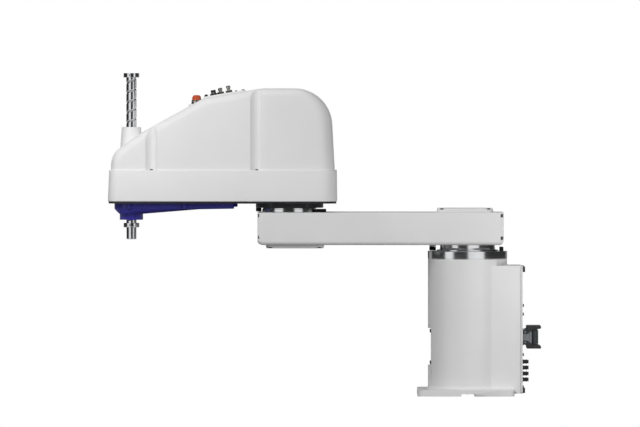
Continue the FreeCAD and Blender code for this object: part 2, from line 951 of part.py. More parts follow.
def connector_lever(name, x, z, side):
    # A bail: two side arms on the housing's pivots and a broad handle bar across them.
    body = new_body(name, x=x, z=z)
    arms = sketch_on(body, "XZ_Plane")
    bar_low = s.lever_pivot_inset + s.lever_clear
    bar_high = bar_low + s.lever_thick
    near_x, far_x = -s.lever_bar_start, -s.lever_reach
    heel, toe, corner = s.lever_heel, s.lever_toe, s.lever_round
    corners = [
        (heel, s.lever_shoulder),
        (heel, -heel),
        (-toe, -heel),
        (-s.lever_knee, toe),
        (far_x + corner, bar_low),
        (far_x, bar_low + corner),
        (far_x, bar_high, corner),
        (near_x, bar_high, corner),
        (near_x, bar_low),
        (0, bar_low - corner),
    ]
    placed = [(corner[0], side * as_size(corner[1]), *corner[2:]) for corner in corners]
    outline(arms, placed)
    outer = 2 * (s.connector_half + s.moving_gap + s.lever_side)
    pad(body, arms, outer, both=True)
    gap = sketch_on(body, "XZ_Plane")
    top, deep = side * bar_low, -3 * side * s.lever_pivot_inset
    behind, ahead = 1.5 * far_x, 3 * heel
    outline(gap, [(behind, deep), (ahead, deep), (ahead, top), (behind, top)])
    pocket(body, gap, outer - 2 * s.lever_side, both=True)
    hole = sketch_on(body, "XZ_Plane")
    circles(hole, [(0, 0)], s.connector_pivot_radius + s.fit_gap)
    pocket(body, hole, outer + 2 * s.hole_spare, both=True)
    return keep(body)


def air_fittings():
    group = doc.addObject("Part::Compound", "air_fittings")
    members = []
    for number in range(4):
        x = rear_face - s.fitting_length
        z = s.fitting_high - number * s.fitting_pitch
        step, length = s.fitting_sleeve, s.fitting_length - s.fitting_sleeve
        shell = cylinder(f"fitting_body{number}", s.fitting_radius, length, x + step, 0, z)
        sleeve = cylinder(f"fitting_sleeve{number}", s.fitting_radius - s.fitting_step, step, x, 0, z)
        bore = cylinder(f"fitting_bore{number}", s.fitting_bore, s.fitting_bore_depth, x, 0, z)
        for item in (shell, sleeve, bore):
            item.Placement.Rotation = ways["+X"]
            bind(item, "Placement.Base.y", s.connector_half / 2)
        outer = fused(f"fitting_outer{number}", [shell, sleeve])
        members.append(cut(f"fitting{number}", outer, bore))
    group.Links = members
    group.Label = group.Name
    return keep(group)


def base_motor():
    body = new_body("j1_motor", z=s.column_top)
    flange = sketch_on(body, "XY_Plane")
    circles(flange, [(0, 0)], s.column_radius - s.column_wall - s.moving_gap)
    pad(body, flange, s.motor1_flange, True)
    case = sketch_on(body, "XY_Plane", z=-s.motor1_flange)
    half = s.motor1_half
    rectangle(case, -half, half, -half, half, s.motor1_corner)
    pad(body, case, s.motor1_length, True)
    encoder = sketch_on(body, "XY_Plane", z=-s.motor1_flange - s.motor1_length)
    circles(encoder, [(0, 0)], s.encoder1_radius)
    pad(body, encoder, s.encoder_length, True)
    spindle = sketch_on(body, "XY_Plane")
    circles(spindle, [(0, 0)], s.spindle1_radius)
    pad(body, spindle, s.ring1_floor)
    return keep(body)


def joint1_fixed():
    ring = new_body("j1_reducer_ring", z=s.column_top)
    floor, high = s.ring1_floor, s.ring1_height
    outer, bore = s.ring1_radius, s.bearing1_outer
    low_bore = s.ring1_floor_bore
    turned = [(low_bore, 0), (outer, 0), (outer, high), (bore, high), (bore, floor), (low_bore, floor)]
    revolve(ring, turned)
    posts = post_spots()
    shank = (s.post_shank_radius, s.post_shank_length)
    drill(ring, "XY_Plane", high, posts, shank[0] + s.fit_gap, shank[1] + s.hole_spare)
    keep(ring)
    bearing = new_body("j1_bearing", z=s.column_top + floor)
    height = s.ring1_height - floor - s.bearing_gap
    revolve(bearing, [(s.bearing1_inner, 0), (bore, 0), (bore, height), (s.bearing1_inner, height)])
    keep(bearing)
    group = doc.addObject("Part::Compound", "j1_stop_posts")
    members = []
    for number, (x, y) in enumerate(posts):
        head = cylinder(f"post_head{number}", s.post_radius, s.post_height, x, y, ring1_top)
        stem = cylinder(f"post_shank{number}", *shank, x, y, ring1_top - shank[1])
        members.append(fused(f"post{number}", [head, stem]))
    group.Links = members
    group.Label = group.Name
    keep(group)


def post_spots():
    turn = math.radians(s.post_angle.value)
    across = Size(math.cos(turn), f"cos({s.post_angle.text} * 1 deg)")
    along = Size(math.sin(turn), f"sin({s.post_angle.text} * 1 deg)")
    return [(s.post_circle * across, side * (s.post_circle * along)) for side in (1, -1)]


# Arm 1

def joint1_turning():
    hub = new_body("j1_output_hub", z=hub1_low)
    spigot = s.bearing1_inner - s.fit_gap
    depth = s.ring1_height - s.ring1_floor - s.bearing_gap
    rise = arm1_low - hub1_low
    flange, body_radius = s.hub1_flange_radius, s.hub1_radius
    thick = s.hub1_flange_thick
    corners = [
        (s.cable_bore, -depth),
        (spigot, -depth),
        (spigot, 0),
        (flange, 0),
        (flange, thick),
        (body_radius + s.hub1_step, thick),
        (body_radius, thick + s.hub1_cone),
        (body_radius, rise),
        (s.cable_bore, rise),
    ]
    revolve(hub, corners)
    keep(hub)
    block = new_body("j1_stop_block", z=arm1_low)
    sketch = sketch_on(block, "XY_Plane")
    half = s.stop1_half
    rectangle(sketch, s.stop1_near, s.stop1_far, -half, half, s.stop_round)
    pad(block, sketch, s.stop1_drop, True)
    keep(block)


def arm1_section(sketch, low, high, half, low_round, high_round):
    corners = [(-half, low, low_round), (half, low, low_round)]
    corners += [(half, high, high_round), (-half, high, high_round)]
    outline(sketch, corners)


def end_screw_spots():
    # In the side walls, across and up.
    across = s.arm1_half - s.arm1_wall / 2
    return [
        (side * across, height)
        for side in (1, -1)
        for height in (arm1_low + s.end_screw_low, arm1_high - s.end_screw_drop)
    ]


def cover_screw_spots(back, front, half):
    inset = s.cover_screw_inset
    return both_sides((inset - back, half - inset), (front - inset, half - inset))


def nose_cut(body):
    # The front end's lower corner seen from the side: a sloping run between two rounds.
    sketch = sketch_on(body, "XZ_Plane")
    nose = s.arm1_reach + s.arm1_beyond
    start, far = nose - 3 * s.nose_near, nose + s.nose_near
    deep, high = arm1_low - s.nose_near, arm1_low + s.nose_near + s.nose_rise
    corners = [(start, deep), (far, deep), (far, high), (nose, high)]
    corners += [(nose, arm1_low + s.nose_rise, s.nose_high_round)]
    corners += [(nose - s.nose_near, arm1_low, s.nose_low_round), (start, arm1_low)]
    outline(sketch, corners)
    pocket(body, sketch, 3 * s.arm1_half, both=True)


def arm1_casting():
    body = new_body("arm1_casting")
    tail = s.end_plate - s.arm1_behind
    nose = s.arm1_reach + s.arm1_beyond - s.end_plate
    bite = s.bite
    beam = sketch_on(body, "YZ_Plane", z=tail)
    arm1_section(beam, arm1_low, arm1_high, s.arm1_half, s.arm1_low_round, s.arm1_high_round)
    pad(body, beam, nose - tail)
    nose_cut(body)
    tunnel = sketch_on(body, "YZ_Plane", z=tail)
    low, high = arm1_low + s.arm1_floor, arm1_high - s.arm1_wall
    half, corner = s.arm1_half - s.arm1_wall, s.tunnel_round
    arm1_section(tunnel, low, high, half, corner, corner)
    pocket(body, tunnel, nose - tail, True)
    for share in (s.rib1_share, s.rib2_share):
        rib = sketch_on(body, "YZ_Plane", z=share * s.arm1_reach)
        rectangle(rib, -half - bite, half + bite, low - bite, high + bite)
        circles(rib, [(0, arm1_low + s.arm1_height / 2)], s.rib_hole_radius)
        pad(body, rib, s.rib_thick)
    boss1 = sketch_on(body, "XY_Plane", z=low - bite)
    circles(boss1, [(0, 0)], s.hub1_radius)
    pad(body, boss1, s.boss_thick)
    boss2 = sketch_on(body, "XY_Plane", z=high + bite)
    circles(boss2, [(elbow_x, 0)], s.ring2_radius)
    pad(body, boss2, s.boss_thick, True)
    half_height = s.arm1_height / 2
    drill(body, "XY_Plane", arm1_low, [(0, 0)], s.cable_bore, half_height, True)
    drill(body, "XY_Plane", arm1_high, [(elbow_x, 0)], s.elbow_bore, half_height)
    # hand holes under the two covers
    through = s.arm1_floor + s.hole_spare
    drill(body, "XY_Plane", arm1_high, [(0, 0)], s.hand_hole1, through)
    hand_x = elbow_x - s.hand_hole2_behind
    drill(body, "XY_Plane", arm1_low, [(hand_x, 0)], s.hand_hole2, through, True)
    depth = s.end_screw_bite + s.hole_spare
    drill(body, "YZ_Plane", tail, end_screw_spots(), small_hole, depth, True)
    drill(body, "YZ_Plane", nose, end_screw_spots(), small_hole, depth)
    depth = s.cover_screw_bite + s.hole_spare
    drill(body, "XY_Plane", arm1_high, cover1_screw_spots(), small_hole, depth)
    drill(body, "XY_Plane", arm1_low, cover2_screw_spots(), small_hole, depth, True)
    return keep(body)


def cover1_screw_spots():
    return cover_screw_spots(s.cover1_back, s.cover1_front, s.cover1_half)


def cover2_screw_spots():
    return cover_screw_spots(s.cover2_back - elbow_x, s.cover2_front + elbow_x, s.cover2_half)


def arm1_end_plate(name, face, reverse):
    body = new_body(name)
    sketch = sketch_on(body, "YZ_Plane", z=face)
    arm1_section(sketch, arm1_low, arm1_high, s.arm1_half, s.arm1_low_round, s.arm1_high_round)
    pad(body, sketch, s.end_plate, reverse)
    soften(body, "Chamfer", s.end_chamfer, lambda edge: all(near(end.x, face) for end in span(edge)))
    if reverse:
        nose_cut(body)
    spots = end_screw_spots()
    drill(body, "YZ_Plane", face, spots, small_hole, s.end_plate, not reverse)
    # pockets for the screw heads
    clear = s.end_head_radius + s.loose_gap
    drill(body, "YZ_Plane", face, spots, clear, s.end_head_height, not reverse)
    keep(body)


def arm1_end_plates():
    tail = -s.arm1_behind
    nose = s.arm1_reach + s.arm1_beyond
    arm1_end_plate("arm1_rear_end_plate", tail, False)
    arm1_end_plate("arm1_front_end_plate", nose, True)
    sunk = s.end_head_height
    sizes_used = (s.end_head_radius, sunk, s.small_shank_radius, s.end_screw_bite)
    rear_seats = [(tail + sunk, *spot) for spot in end_screw_spots()]
    front_seats = [(nose - sunk, *spot) for spot in end_screw_spots()]
    rear = screws("rear_end_screws", "-X", rear_seats, *sizes_used)
    front = screws("front_end_screws", "+X", front_seats, *sizes_used)
    group = doc.addObject("Part::Compound", "arm1_end_screws")
    group.Links = [rear, front]
    group.Label = group.Name
    keep(group)


def arm1_cover(name, x, z, back, front, half, up):
    # A low tray with solid corners for its screws, on top of the arm or under it.
    body = new_body(name, x=x, z=z)
    sketch = sketch_on(body, "XY_Plane")
    rectangle(sketch, -back, front, -half, half, s.cover_round)
    pad(body, sketch, s.cover_thick, not up)
    face = s.cover_thick if up else -s.cover_thick
    soften(body, "Chamfer", s.cover_chamfer, lambda edge: all(near(end.z, face) for end in span(edge)))
    room = sketch_on(body, "XY_Plane")
    margin = 2 * s.cover_screw_inset
    inner = half - margin
    rectangle(room, margin - back, front - margin, -inner, inner, s.cover_room_round)
    pocket(body, room, s.cover_thick - s.cover_roof, up)
    spots = cover_screw_spots(back, front, half)
    drill(body, "XY_Plane", 0, spots, small_hole, s.cover_thick, up)
    return keep(body)


def arm1_covers():
    top = (s.cover1_back, s.cover1_front, s.cover1_half)
    low = (s.cover2_back, s.cover2_front, s.cover2_half)
    arm1_cover("arm1_top_cover", 0, arm1_high, *top, True)
    arm1_cover("arm1_bottom_cover", elbow_x, arm1_low, *low, False)
    head = (s.small_head_radius, s.flat_head_height)
    shank = (s.small_shank_radius, s.cover_thick + s.cover_screw_bite)
    top_seats = [(x, y, arm1_high + s.cover_thick) for x, y in cover1_screw_spots()]
    low_seats = [(x, y, arm1_low - s.cover_thick) for x, y in cover2_screw_spots()]
    group = doc.addObject("Part::Compound", "arm1_cover_screws")
    above = screws("top_cover_screws", "+Z", top_seats, *head, *shank)
    below = screws("bottom_cover_screws", "-Z", low_seats, *head, *shank)
    group.Links = [above, below]
    group.Label = group.Name
    keep(group)


def joint2_fixed():
    ring = new_body("j2_reducer_ring", x=elbow_x, z=arm1_high)
    outer, bore, high = s.ring2_radius, s.bearing2_outer, s.ring2_height
    step, ledge = outer - s.ring2_step, high - s.ring2_step_height
    corners = [(bore, 0), (outer, 0), (outer, ledge), (step, ledge), (step, high), (bore, high)]
    revolve(ring, corners)
    keep(ring)
    bearing = new_body("j2_bearing", x=elbow_x, z=arm1_high)
    inner = s.bearing2_inner
    tall = high - s.bearing_gap
    revolve(bearing, [(inner, 0), (bore, 0), (bore, tall), (inner, tall)])
    keep(bearing)
    members = []
    for number, side in enumerate((1, -1)):
        block = doc.addObject("Part::Box", f"elbow_stop{number}")
        bind(block, "Length", 2 * s.stop2_half_length)
        bind(block, "Width", 2 * s.stop2_half_width)
        bind(block, "Height", s.stop2_height)
        x = elbow_x - s.stop2_circle - s.stop2_half_length
        place(block, x, side * s.stop2_side - s.stop2_half_width, arm1_high)
        members.append(block)
    group = doc.addObject("Part::Compound", "j2_stop_blocks")
    group.Links = members
    group.Label = group.Name
    keep(group)


# Arm 2

def joint2_turning():
    flange = new_body("j2_output_flange", x=elbow_x, z=flange2_low)
    spigot = s.bearing2_inner - s.fit_gap
    radius, thick, bore = s.flange2_radius, s.flange2_thick, s.elbow_cable_bore
    corners = [
        (bore, -s.spigot2_depth),
        (spigot, -s.spigot2_depth),
        (spigot, 0),
        (radius - s.flange2_chamfer, 0),
        (radius, s.flange2_chamfer),
        (radius, thick),
        (bore, thick),
    ]
    revolve(flange, corners)
    # a flat on each side
    beside = sketch_on(flange, "XY_Plane")
    for side in (1, -1):
        rectangle(beside, -radius, radius, side * s.flange2_flat, side * 2 * s.flange2_flat)
    pocket(flange, beside, thick, True)
    keep(flange)
    bumper = new_body("j2_moving_stop", x=elbow_x, z=flange2_low)
    sketch = sketch_on(bumper, "XY_Plane")
    half = s.bumper_half
    rectangle(sketch, s.bumper_near, s.bumper_far, -half, half, s.stop_round)
    pad(bumper, sketch, s.bumper_drop, True)
    keep(bumper)


def side_at(x):
    # Half-width of the cover's upper shell at a distance x in front of where its sides close in.
    return s.rear_half - side_slope * (x - taper_start)


side_slope = (s.rear_half - s.front_half) / (cover_front - taper_start)


def plan(sketch, grow):
    # The arm's outline from above, grown outwards.
    back, front = cover_rear + s.plan_behind - grow, cover_front - s.plan_short + grow
    rear, nose = s.rear_half + grow, s.front_half + grow
    rear_corner, front_corner = s.rear_corner + grow, s.front_corner + grow
    corners = [(back, -rear, rear_corner), (taper_start, -rear, s.taper_round)]
    corners += [(front, -nose, front_corner), (front, nose, front_corner)]
    corners += [(taper_start, rear, s.taper_round), (back, rear, rear_corner)]
    outline(sketch, corners)


def shell_solid(name, inset, low):
    # The upper shell as a solid: its side view padded across, its sides cut to the plan, its edges
    # rounded. An inset moves every face inwards.
    body = new_body(name)
    drop = inset * (s.roof_drop / s.wall)
    side = sketch_on(body, "XZ_Plane")
    nose_x, slope_x = shaft_x + s.nose_ahead, shaft_x - s.slope_behind
    rear_top_x = elbow_x - s.rear_top_behind
    corners = [
        (cover_rear + inset, low),
        (cover_front - inset, low),
        (nose_x - inset, cover_low + s.nose_height - drop, s.nose_round - inset),
        (slope_x, cover_low + s.slope_height - drop, s.slope_round),
        (brow_x, brow_z - drop, s.brow_round),
        (crown_x, roof_top - drop, s.crown_round),
        (rear_top_x + inset, roof_top - drop, s.rear_round - inset),
    ]
    outline(side, corners)
    pad(body, side, 3 * s.rear_half, both=True)
    sides = sketch_on(body, "XY_Plane", z=low)
    far = cover_front + s.edge_round
    back = cover_rear - s.edge_round
    outside = 1.6 * s.rear_half
    for sign in (1, -1):
        half_rear = sign * (s.rear_half - inset)
        half_far = sign * (side_at(far) - inset)
        corners = [
            (back, half_rear),
            (taper_start, half_rear, s.taper_round),
            (far, half_far),
            (far, sign * outside),
            (back, sign * outside),
        ]
        outline(sides, corners)
    pocket(body, sides, roof_top, True)
    doc.recompute()
    return rounded_shell(name, body, as_size(inset).value, as_size(low).value)


def rounded_shell(name, body, inner, bottom):
    # Rounds the rims of both sides. The round grows from the roof's to the rear corner's along the
    # bend between the roof and the rear wall.
    bend_start = (elbow_x - s.rear_top_behind + s.rear_round / 2).value

    def radius_at(point):
        return (s.edge_round if point.x > bend_start else s.rear_corner).value - inner

    rims = []
    for number, edge in enumerate(body.Shape.Edges, 1):
        ends = span(edge)
        on_side = all(abs(end.y) > side_at(end.x).value - inner - 1.5 for end in ends)
        at_bottom = all(near(end.z, bottom) for end in ends)
        upright = near(ends[0].x, ends[1].x, 0.01) and abs(ends[0].z - ends[1].z) > 1
        if on_side and not at_bottom and not upright:
            first, last = edge.Vertexes[0].Point, edge.Vertexes[-1].Point
            rims.append((number, radius_at(first), radius_at(last)))
    shell = doc.addObject("Part::Fillet", name + "_rounded")
    shell.Base = body
    shell.Edges = rims
    return shell


def flute_spots():
    return both_sides(
        (flute1_x, s.rear_half + s.flute_offset),
        (flute2_x, side_at(flute2_x) + s.flute_offset),
    )


def post_spots2():
    return both_sides(
        (flute1_x, s.rear_half - s.post2_inset),
        (flute2_x, side_at(flute2_x) - s.post2_inset),
    )


def prism(name, grow, low, high):
    body = new_body(name)
    sketch = sketch_on(body, "XY_Plane", z=low)
    plan(sketch, grow)
    pad(body, sketch, high - low)
    return body


def arm2_cover():
    outer = shell_solid("cover_outer", 0, cover_low)
    inner = shell_solid("cover_inner", s.wall, cover_low - s.floor_thick)
    skirt = prism("cover_skirt", s.skirt_step, cover_low, skirt_top)
    top_rim = (s.skirt_chamfer, lambda edge: all(near(end.z, skirt_top) for end in span(edge)))
    soften(skirt, "Chamfer", *top_rim)
    below = cover_low - s.floor_thick
    room = prism("cover_skirt_room", s.skirt_step - s.wall, below, shelf_low)
    pipe = cover_low + s.chimney_height - skirt_top
    chimney = cylinder("chimney", s.chimney_radius, pipe, shaft_x, 0, skirt_top)
    radius, deep = s.lamp_seat_radius, 3 * s.lamp_seat_radius
    seat = cylinder("lamp_seat", radius, deep, lamp_x, 0, lamp_seat_z - deep)
    solid = fused("cover_solid", [outer, skirt, chimney, seat])
    # material kept behind the flutes and under the lamp seat
    backs = []
    for number, (x, y) in enumerate(flute_spots()):
        around, tall = s.flute_radius + s.wall, roof_top - shelf_low
        backs.append(cylinder(f"flute_back{number}", around, tall, x, y, shelf_low))
    seat_low = lamp_seat_z - s.wall
    backs.append(cylinder("seat_back", radius + s.wall, deep, lamp_x, 0, seat_low))
    hollow = cut("cover_hollow", fused("cover_rooms", [inner, room]), fused("cover_backs", backs))
    cutters = [cylinder("chimney_hole", s.chimney_bore, roof_top - skirt_top, shaft_x, 0, skirt_top)]
    cutters.append(cylinder("seat_face", radius + s.bite, deep, lamp_x, 0, lamp_seat_z))
    for number, (x, y) in enumerate(flute_spots()):
        cutters.append(cylinder(f"flute{number}", s.flute_radius, roof_top, x, y, skirt_top + s.bite))
    for number, (x, y) in enumerate(post_spots2()):
        low, deep = shelf_low - s.hole_spare, s.shelf_thick + 3 * s.hole_spare
        cutters.append(cylinder(f"cover_hole{number}", small_hole, deep, x, y, low))
    cover = cut("cover_open", cut("cover_shell", solid, hollow), fused("cover_cutters", cutters))
    cover.Label = "arm2_cover"
    keep(cover)
    seats = [(x, y, skirt_top + s.bite) for x, y in post_spots2()]
    head = (s.cover_head_radius, s.cover_head_height)
    shank = (s.small_shank_radius, s.cover_screw_length)
    keep(screws("arm2_cover_screws", "+Z", seats, *head, *shank))


def arm2_casting():
    body = new_body("arm2_casting")
    floor = sketch_on(body, "XY_Plane", z=floor_low)
    plan(floor, s.floor_grow)
    pad(body, floor, s.floor_thick)
    rim = sketch_on(body, "XY_Plane", z=cover_low - s.bite)
    plan(rim, -s.rim_inset)
    plan(rim, -s.rim_inset - s.rim_thick)
    pad(body, rim, s.rim_height)
    elbow = sketch_on(body, "XY_Plane", z=floor_low + s.bite)
    circles(elbow, [(elbow_x, 0)], s.hub2_radius)
    pad(body, elbow, s.hub2_height + s.floor_thick)
    quill = sketch_on(body, "XY_Plane", z=floor_low - s.quill_hub_drop)
    circles(quill, [(shaft_x, 0)], s.quill_hub_radius)
    pad(body, quill, s.quill_hub_drop + s.floor_thick + s.quill_hub_rise)
    posts = sketch_on(body, "XY_Plane", z=cover_low - s.bite)
    circles(posts, post_spots2(), s.post2_radius)
    pad(body, posts, shelf_low - cover_low + s.bite)
    tall = s.hub2_height + s.floor_thick + s.hole_spare
    drill(body, "XY_Plane", floor_low, [(elbow_x, 0)], s.elbow_cable_bore, tall, True)
    top = cover_low + s.quill_hub_rise
    deep = s.quill_hub_drop + s.floor_thick + s.quill_hub_rise
    seat = s.nut_bearing_radius
    drill(body, "XY_Plane", top, [(shaft_x, 0)], seat, deep - s.nut_seat_floor)
    drill(body, "XY_Plane", top, [(shaft_x, 0)], seat - s.nut_seat, deep)
    drill(body, "XY_Plane", shelf_low, post_spots2(), small_hole, s.post2_hole_depth)
    blind = s.floor_thick - s.hole_spare
    drill(body, "XY_Plane", floor_low, blue_screw_spots(), small_hole, blind, True)
    return keep(body)


def blue_screw_spots():
    across = s.blue_half + s.small_head_radius + s.loose_gap
    ear1_x, ear2_x = shaft_x - s.blue_ear1_behind, shaft_x + s.blue_ear2_ahead
    return both_sides((ear1_x, across), (ear2_x, across))


def round_nose(body, low, radius, front):
    # Cuts the front end of a solid to a half circle of nearly the given radius, seen from above.
    nose = sketch_on(body, "XY_Plane", z=low)
    middle, far = blue_front - s.blue_half, blue_front + s.blue_ahead
    split, outside = s.loose_gap, 2 * radius
    for side in (1, -1):
        corners = [
            (middle, side * radius),
            (front, side * radius, radius - 2 * split),
            (front, side * split),
            (far, side * split),
            (far, side * outside),
            (middle, side * outside),
        ]
        outline(nose, corners)
    pocket(body, nose, 3 * s.blue_boss_drop, True)


def blue_solid(name, inset, high):
    # The lower cover's side view padded across, its nose rounded around the shaft.
    body = new_body(name)
    side = sketch_on(body, "XZ_Plane")
    tab_x, tab_z = shaft_x - s.blue_tab_behind + 2 * inset, floor_low - s.blue_tab_drop + inset
    rear_x, rear_z = shaft_x - s.blue_rear_behind + inset, blue_rear_z + inset
    low_z = floor_low - s.blue_low_drop + inset
    corners = [
        (tab_x, high),
        (tab_x, tab_z),
        (rear_x, tab_z),
        (rear_x, rear_z),
        (shaft_x - s.blue_slope_behind, floor_low - s.blue_slope_drop + inset),
        (shaft_x - s.blue_low_behind, low_z),
        (shaft_x + s.blue_nose_ahead - inset, low_z, s.blue_nose_round),
        (blue_front - inset, rear_z, s.blue_front_round),
        (blue_front - inset, high),
    ]
    outline(side, corners)
    pad(body, side, 2 * (s.blue_half - inset), both=True)
    round_nose(body, blue_boss_z, s.blue_half - inset, blue_front - inset)
    return body


def blue_band():
    # The upper band of the lower cover, a little wider than the rest.
    body = new_body("blue_band")
    sketch = sketch_on(body, "XY_Plane", z=blue_rear_z)
    half = s.blue_half + s.blue_lip
    rectangle(sketch, shaft_x - s.blue_rear_behind, blue_front, -half, half)
    pad(body, sketch, s.blue_rear_drop)
    round_nose(body, blue_boss_z, half, blue_front)
    return body


def lower_cover():
    outer = blue_solid("blue_outer", 0, floor_low)
    inner = blue_solid("blue_inner", s.blue_wall, floor_low + s.floor_thick)
    boss_height = s.blue_boss_drop - s.blue_slope_drop
    boss = cylinder("blue_boss", s.blue_boss_radius, boss_height, shaft_x, 0, blue_boss_z)
    ears = []
    tall = s.blue_rear_drop
    for number, (x, y) in enumerate(blue_screw_spots()):
        ears.append(cylinder(f"blue_ear{number}", s.blue_ear_radius, tall, x, y, blue_rear_z))
    body = fused("blue_body", [outer, blue_band(), boss] + ears)
    well = s.blue_boss_radius - s.blue_wall
    floor = blue_boss_z + s.blue_wall
    cutters = [inner, cylinder("blue_well", well, boss_height, shaft_x, 0, floor)]
    mouth = s.nut_radius + s.hole_spare
    low = blue_boss_z - s.blue_wall
    cutters.append(cylinder("blue_mouth", mouth, boss_height, shaft_x, 0, low))
    for number, (x, y) in enumerate(blue_screw_spots()):
        cutters.append(cylinder(f"blue_hole{number}", small_hole, 3 * tall, x, y, blue_rear_z - tall))
    cover = cut("blue_open", body, fused("blue_cutters", cutters))
    cover.Label = "lower_cover"
    keep(cover)
    seats = [(x, y, blue_rear_z) for x, y in blue_screw_spots()]
    head = (s.small_head_radius, s.flat_head_height)
    length = tall + s.floor_thick - 2 * s.hole_spare
    keep(screws("lower_cover_screws", "-Z", seats, *head, s.small_shank_radius, length))


# Motors, brackets, belts and nuts inside arm 2

def elbow_motor():
    hub_top = floor_low + s.bite + s.hub2_height + s.floor_thick
    body = new_body("j2_motor", x=elbow_x, z=hub_top)
    case = sketch_on(body, "XY_Plane")
    circles(case, [(0, 0)], s.motor2_radius)
    pad(body, case, s.motor2_length)
    encoder = sketch_on(body, "XY_Plane", z=s.motor2_length)
    circles(encoder, [(0, 0)], s.encoder2_radius)
    pad(body, encoder, s.encoder_length)
    return keep(body)


def small_motor(name, x, z, length):
    body = new_body(name, x=x, z=z)
    case = sketch_on(body, "XY_Plane")
    half = s.motor_half
    rectangle(case, -half, half, -half, half, s.motor_corner)
    pad(body, case, length)
    encoder = sketch_on(body, "XY_Plane", z=length)
    half = half - s.small_encoder_inset
    rectangle(encoder, -half, half, -half, half, s.motor_corner)
    pad(body, encoder, s.small_encoder_length)
    bore = s.motor_shaft_radius + s.fit_gap
    drill(body, "XY_Plane", 0, [(0, 0)], bore, s.spindle_depth, True)
    return keep(body)


def lift_bracket():
    # Carries the Z motor and the ball screw nut's bearing above the belts.
    body = new_body("z_motor_bracket")
    z = lift_bracket_z
    plate = sketch_on(body, "XY_Plane", z=z)
    back, front = lift_motor_x - s.lift_bracket_back, shaft_x + s.quill_hub_radius
    half = s.bracket_half
    rectangle(plate, back, front, -half, half, s.lift_bracket_corner)
    pad(body, plate, s.bracket_thick)
    legs = sketch_on(body, "XY_Plane", z=cover_low)
    inset, across = s.leg_inset, half - s.leg_side_inset
    circles(legs, both_sides((back + inset, across), (front - inset, across)), s.leg_radius)
    pad(body, legs, z - cover_low + s.bite)
    seat, floor = s.nut_bearing_radius, s.nut_seat_floor
    ring = sketch_on(body, "XY_Plane", z=z + s.bite)
    circles(ring, [(shaft_x, 0)], seat + s.nut_seat)
    pad(body, ring, s.nut_bearing_height + s.nut_seat - s.bite)
    top = z + s.nut_bearing_height + s.nut_seat
    drill(body, "XY_Plane", top, [(shaft_x, 0)], seat, s.nut_bearing_height + s.nut_seat - floor)
    drill(body, "XY_Plane", top, [(shaft_x, 0)], seat - s.nut_seat, s.nut_bearing_height + s.nut_seat)
    motor_hole = s.motor_shaft_radius + s.bracket_hole_gap
    drill(body, "XY_Plane", z, [(lift_motor_x, 0)], motor_hole, s.bracket_thick, True)
    return keep(body)


def turn_bracket():
    body = new_body("u_motor_bracket")
    z = turn_bracket_z
    plate = sketch_on(body, "XY_Plane", z=z)
    x, half = turn_motor_x, s.bracket_half
    back, front = x - s.turn_bracket_back, x + s.turn_bracket_front
    rectangle(plate, back, front, -half, half, s.turn_bracket_corner)
    pad(body, plate, s.bracket_thick)
    walls = sketch_on(body, "XY_Plane", z=cover_low)
    inset = s.turn_wall_inset
    for side in (1, -1):
        near_y, far_y = side * (half - s.turn_wall_thick), side * half
        rectangle(walls, back + inset, front - inset, near_y, far_y)
    pad(body, walls, z - cover_low + s.bite)
    motor_hole = s.motor_shaft_radius + s.bracket_hole_gap
    drill(body, "XY_Plane", z, [(x, 0)], motor_hole, s.bracket_thick, True)
    return keep(body)


def motor_pulley(name, x, z, bracket_z):
    # A toothed-belt pulley on the spindle that goes up through the bracket into the motor.
    body = new_body(name, x=x, z=z)
    radius, high, thick = s.driver_radius, s.pulley_height, s.lip_thick
    lip, spindle = radius + s.pulley_lip, s.motor_shaft_radius
    tip = bracket_z + s.bracket_thick + s.motor_shaft_reach - z
    corners = [(0, 0), (lip, 0), (lip, thick), (radius, thick), (radius, high - thick)]
    corners += [(lip, high - thick), (lip, high), (spindle, high), (spindle, tip), (0, tip)]
    revolve(body, corners)
    return keep(body)


def driven_pulley(name, z):
    body = new_body(name, x=shaft_x, z=z)
    radius, high, thick, bore = s.driven_radius, s.pulley_height, s.lip_thick, s.nut_radius
    lip = radius + s.pulley_lip
    corners = [(bore, 0), (lip, 0), (lip, thick), (radius, thick), (radius, high - thick)]
    corners += [(lip, high - thick), (lip, high), (bore, high)]
    revolve(body, corners)
    return keep(body)


def belt(name, z, motor_x):
    gap = s.moving_gap
    low = s.lip_thick + gap
    body = new_body(name, x=shaft_x, z=z + low)
    body.Placement.Rotation = Rotation(Vector(0, 0, 1), 180)
    sketch = sketch_on(body, "XY_Plane")
    distance = shaft_x - motor_x
    outer = s.belt_thick + gap
    belt_line(sketch, distance, s.driven_radius + outer, s.driver_radius + outer)
    belt_line(sketch, distance, s.driven_radius + gap, s.driver_radius + gap)
    pad(body, sketch, s.pulley_height - 2 * low)
    return keep(body)


def nut(name, low, high, shoulder_low, shoulder_high):
    body = new_body(name, x=shaft_x)
    bore, radius, flange = s.spline_radius + s.fit_gap, s.nut_radius - s.fit_gap, s.nut_flange
    corners = [(bore, low), (radius, low), (radius, shoulder_low), (flange, shoulder_low)]
    corners += [(flange, shoulder_high), (radius, shoulder_high), (radius, high), (bore, high)]
    revolve(body, corners)
    return keep(body)


hub_floor = floor_low - s.quill_hub_drop + s.nut_seat_floor


def nut_bearings():
    members = []
    for number, z in enumerate((hub_floor, lift_bracket_z + s.nut_seat_floor)):
        ring = cylinder(f"nut_race{number}", s.nut_bearing_radius, s.nut_bearing_height, shaft_x, 0, z)
        tall = s.nut_bearing_height
        bore = cylinder(f"nut_race_bore{number}", s.nut_radius, 3 * tall, shaft_x, 0, z - tall)
        members.append(cut(f"nut_bearing{number}", ring, bore))
    group = doc.addObject("Part::Compound", "nut_bearings")
    group.Links = members
    group.Label = group.Name
    return keep(group)


# Shaft

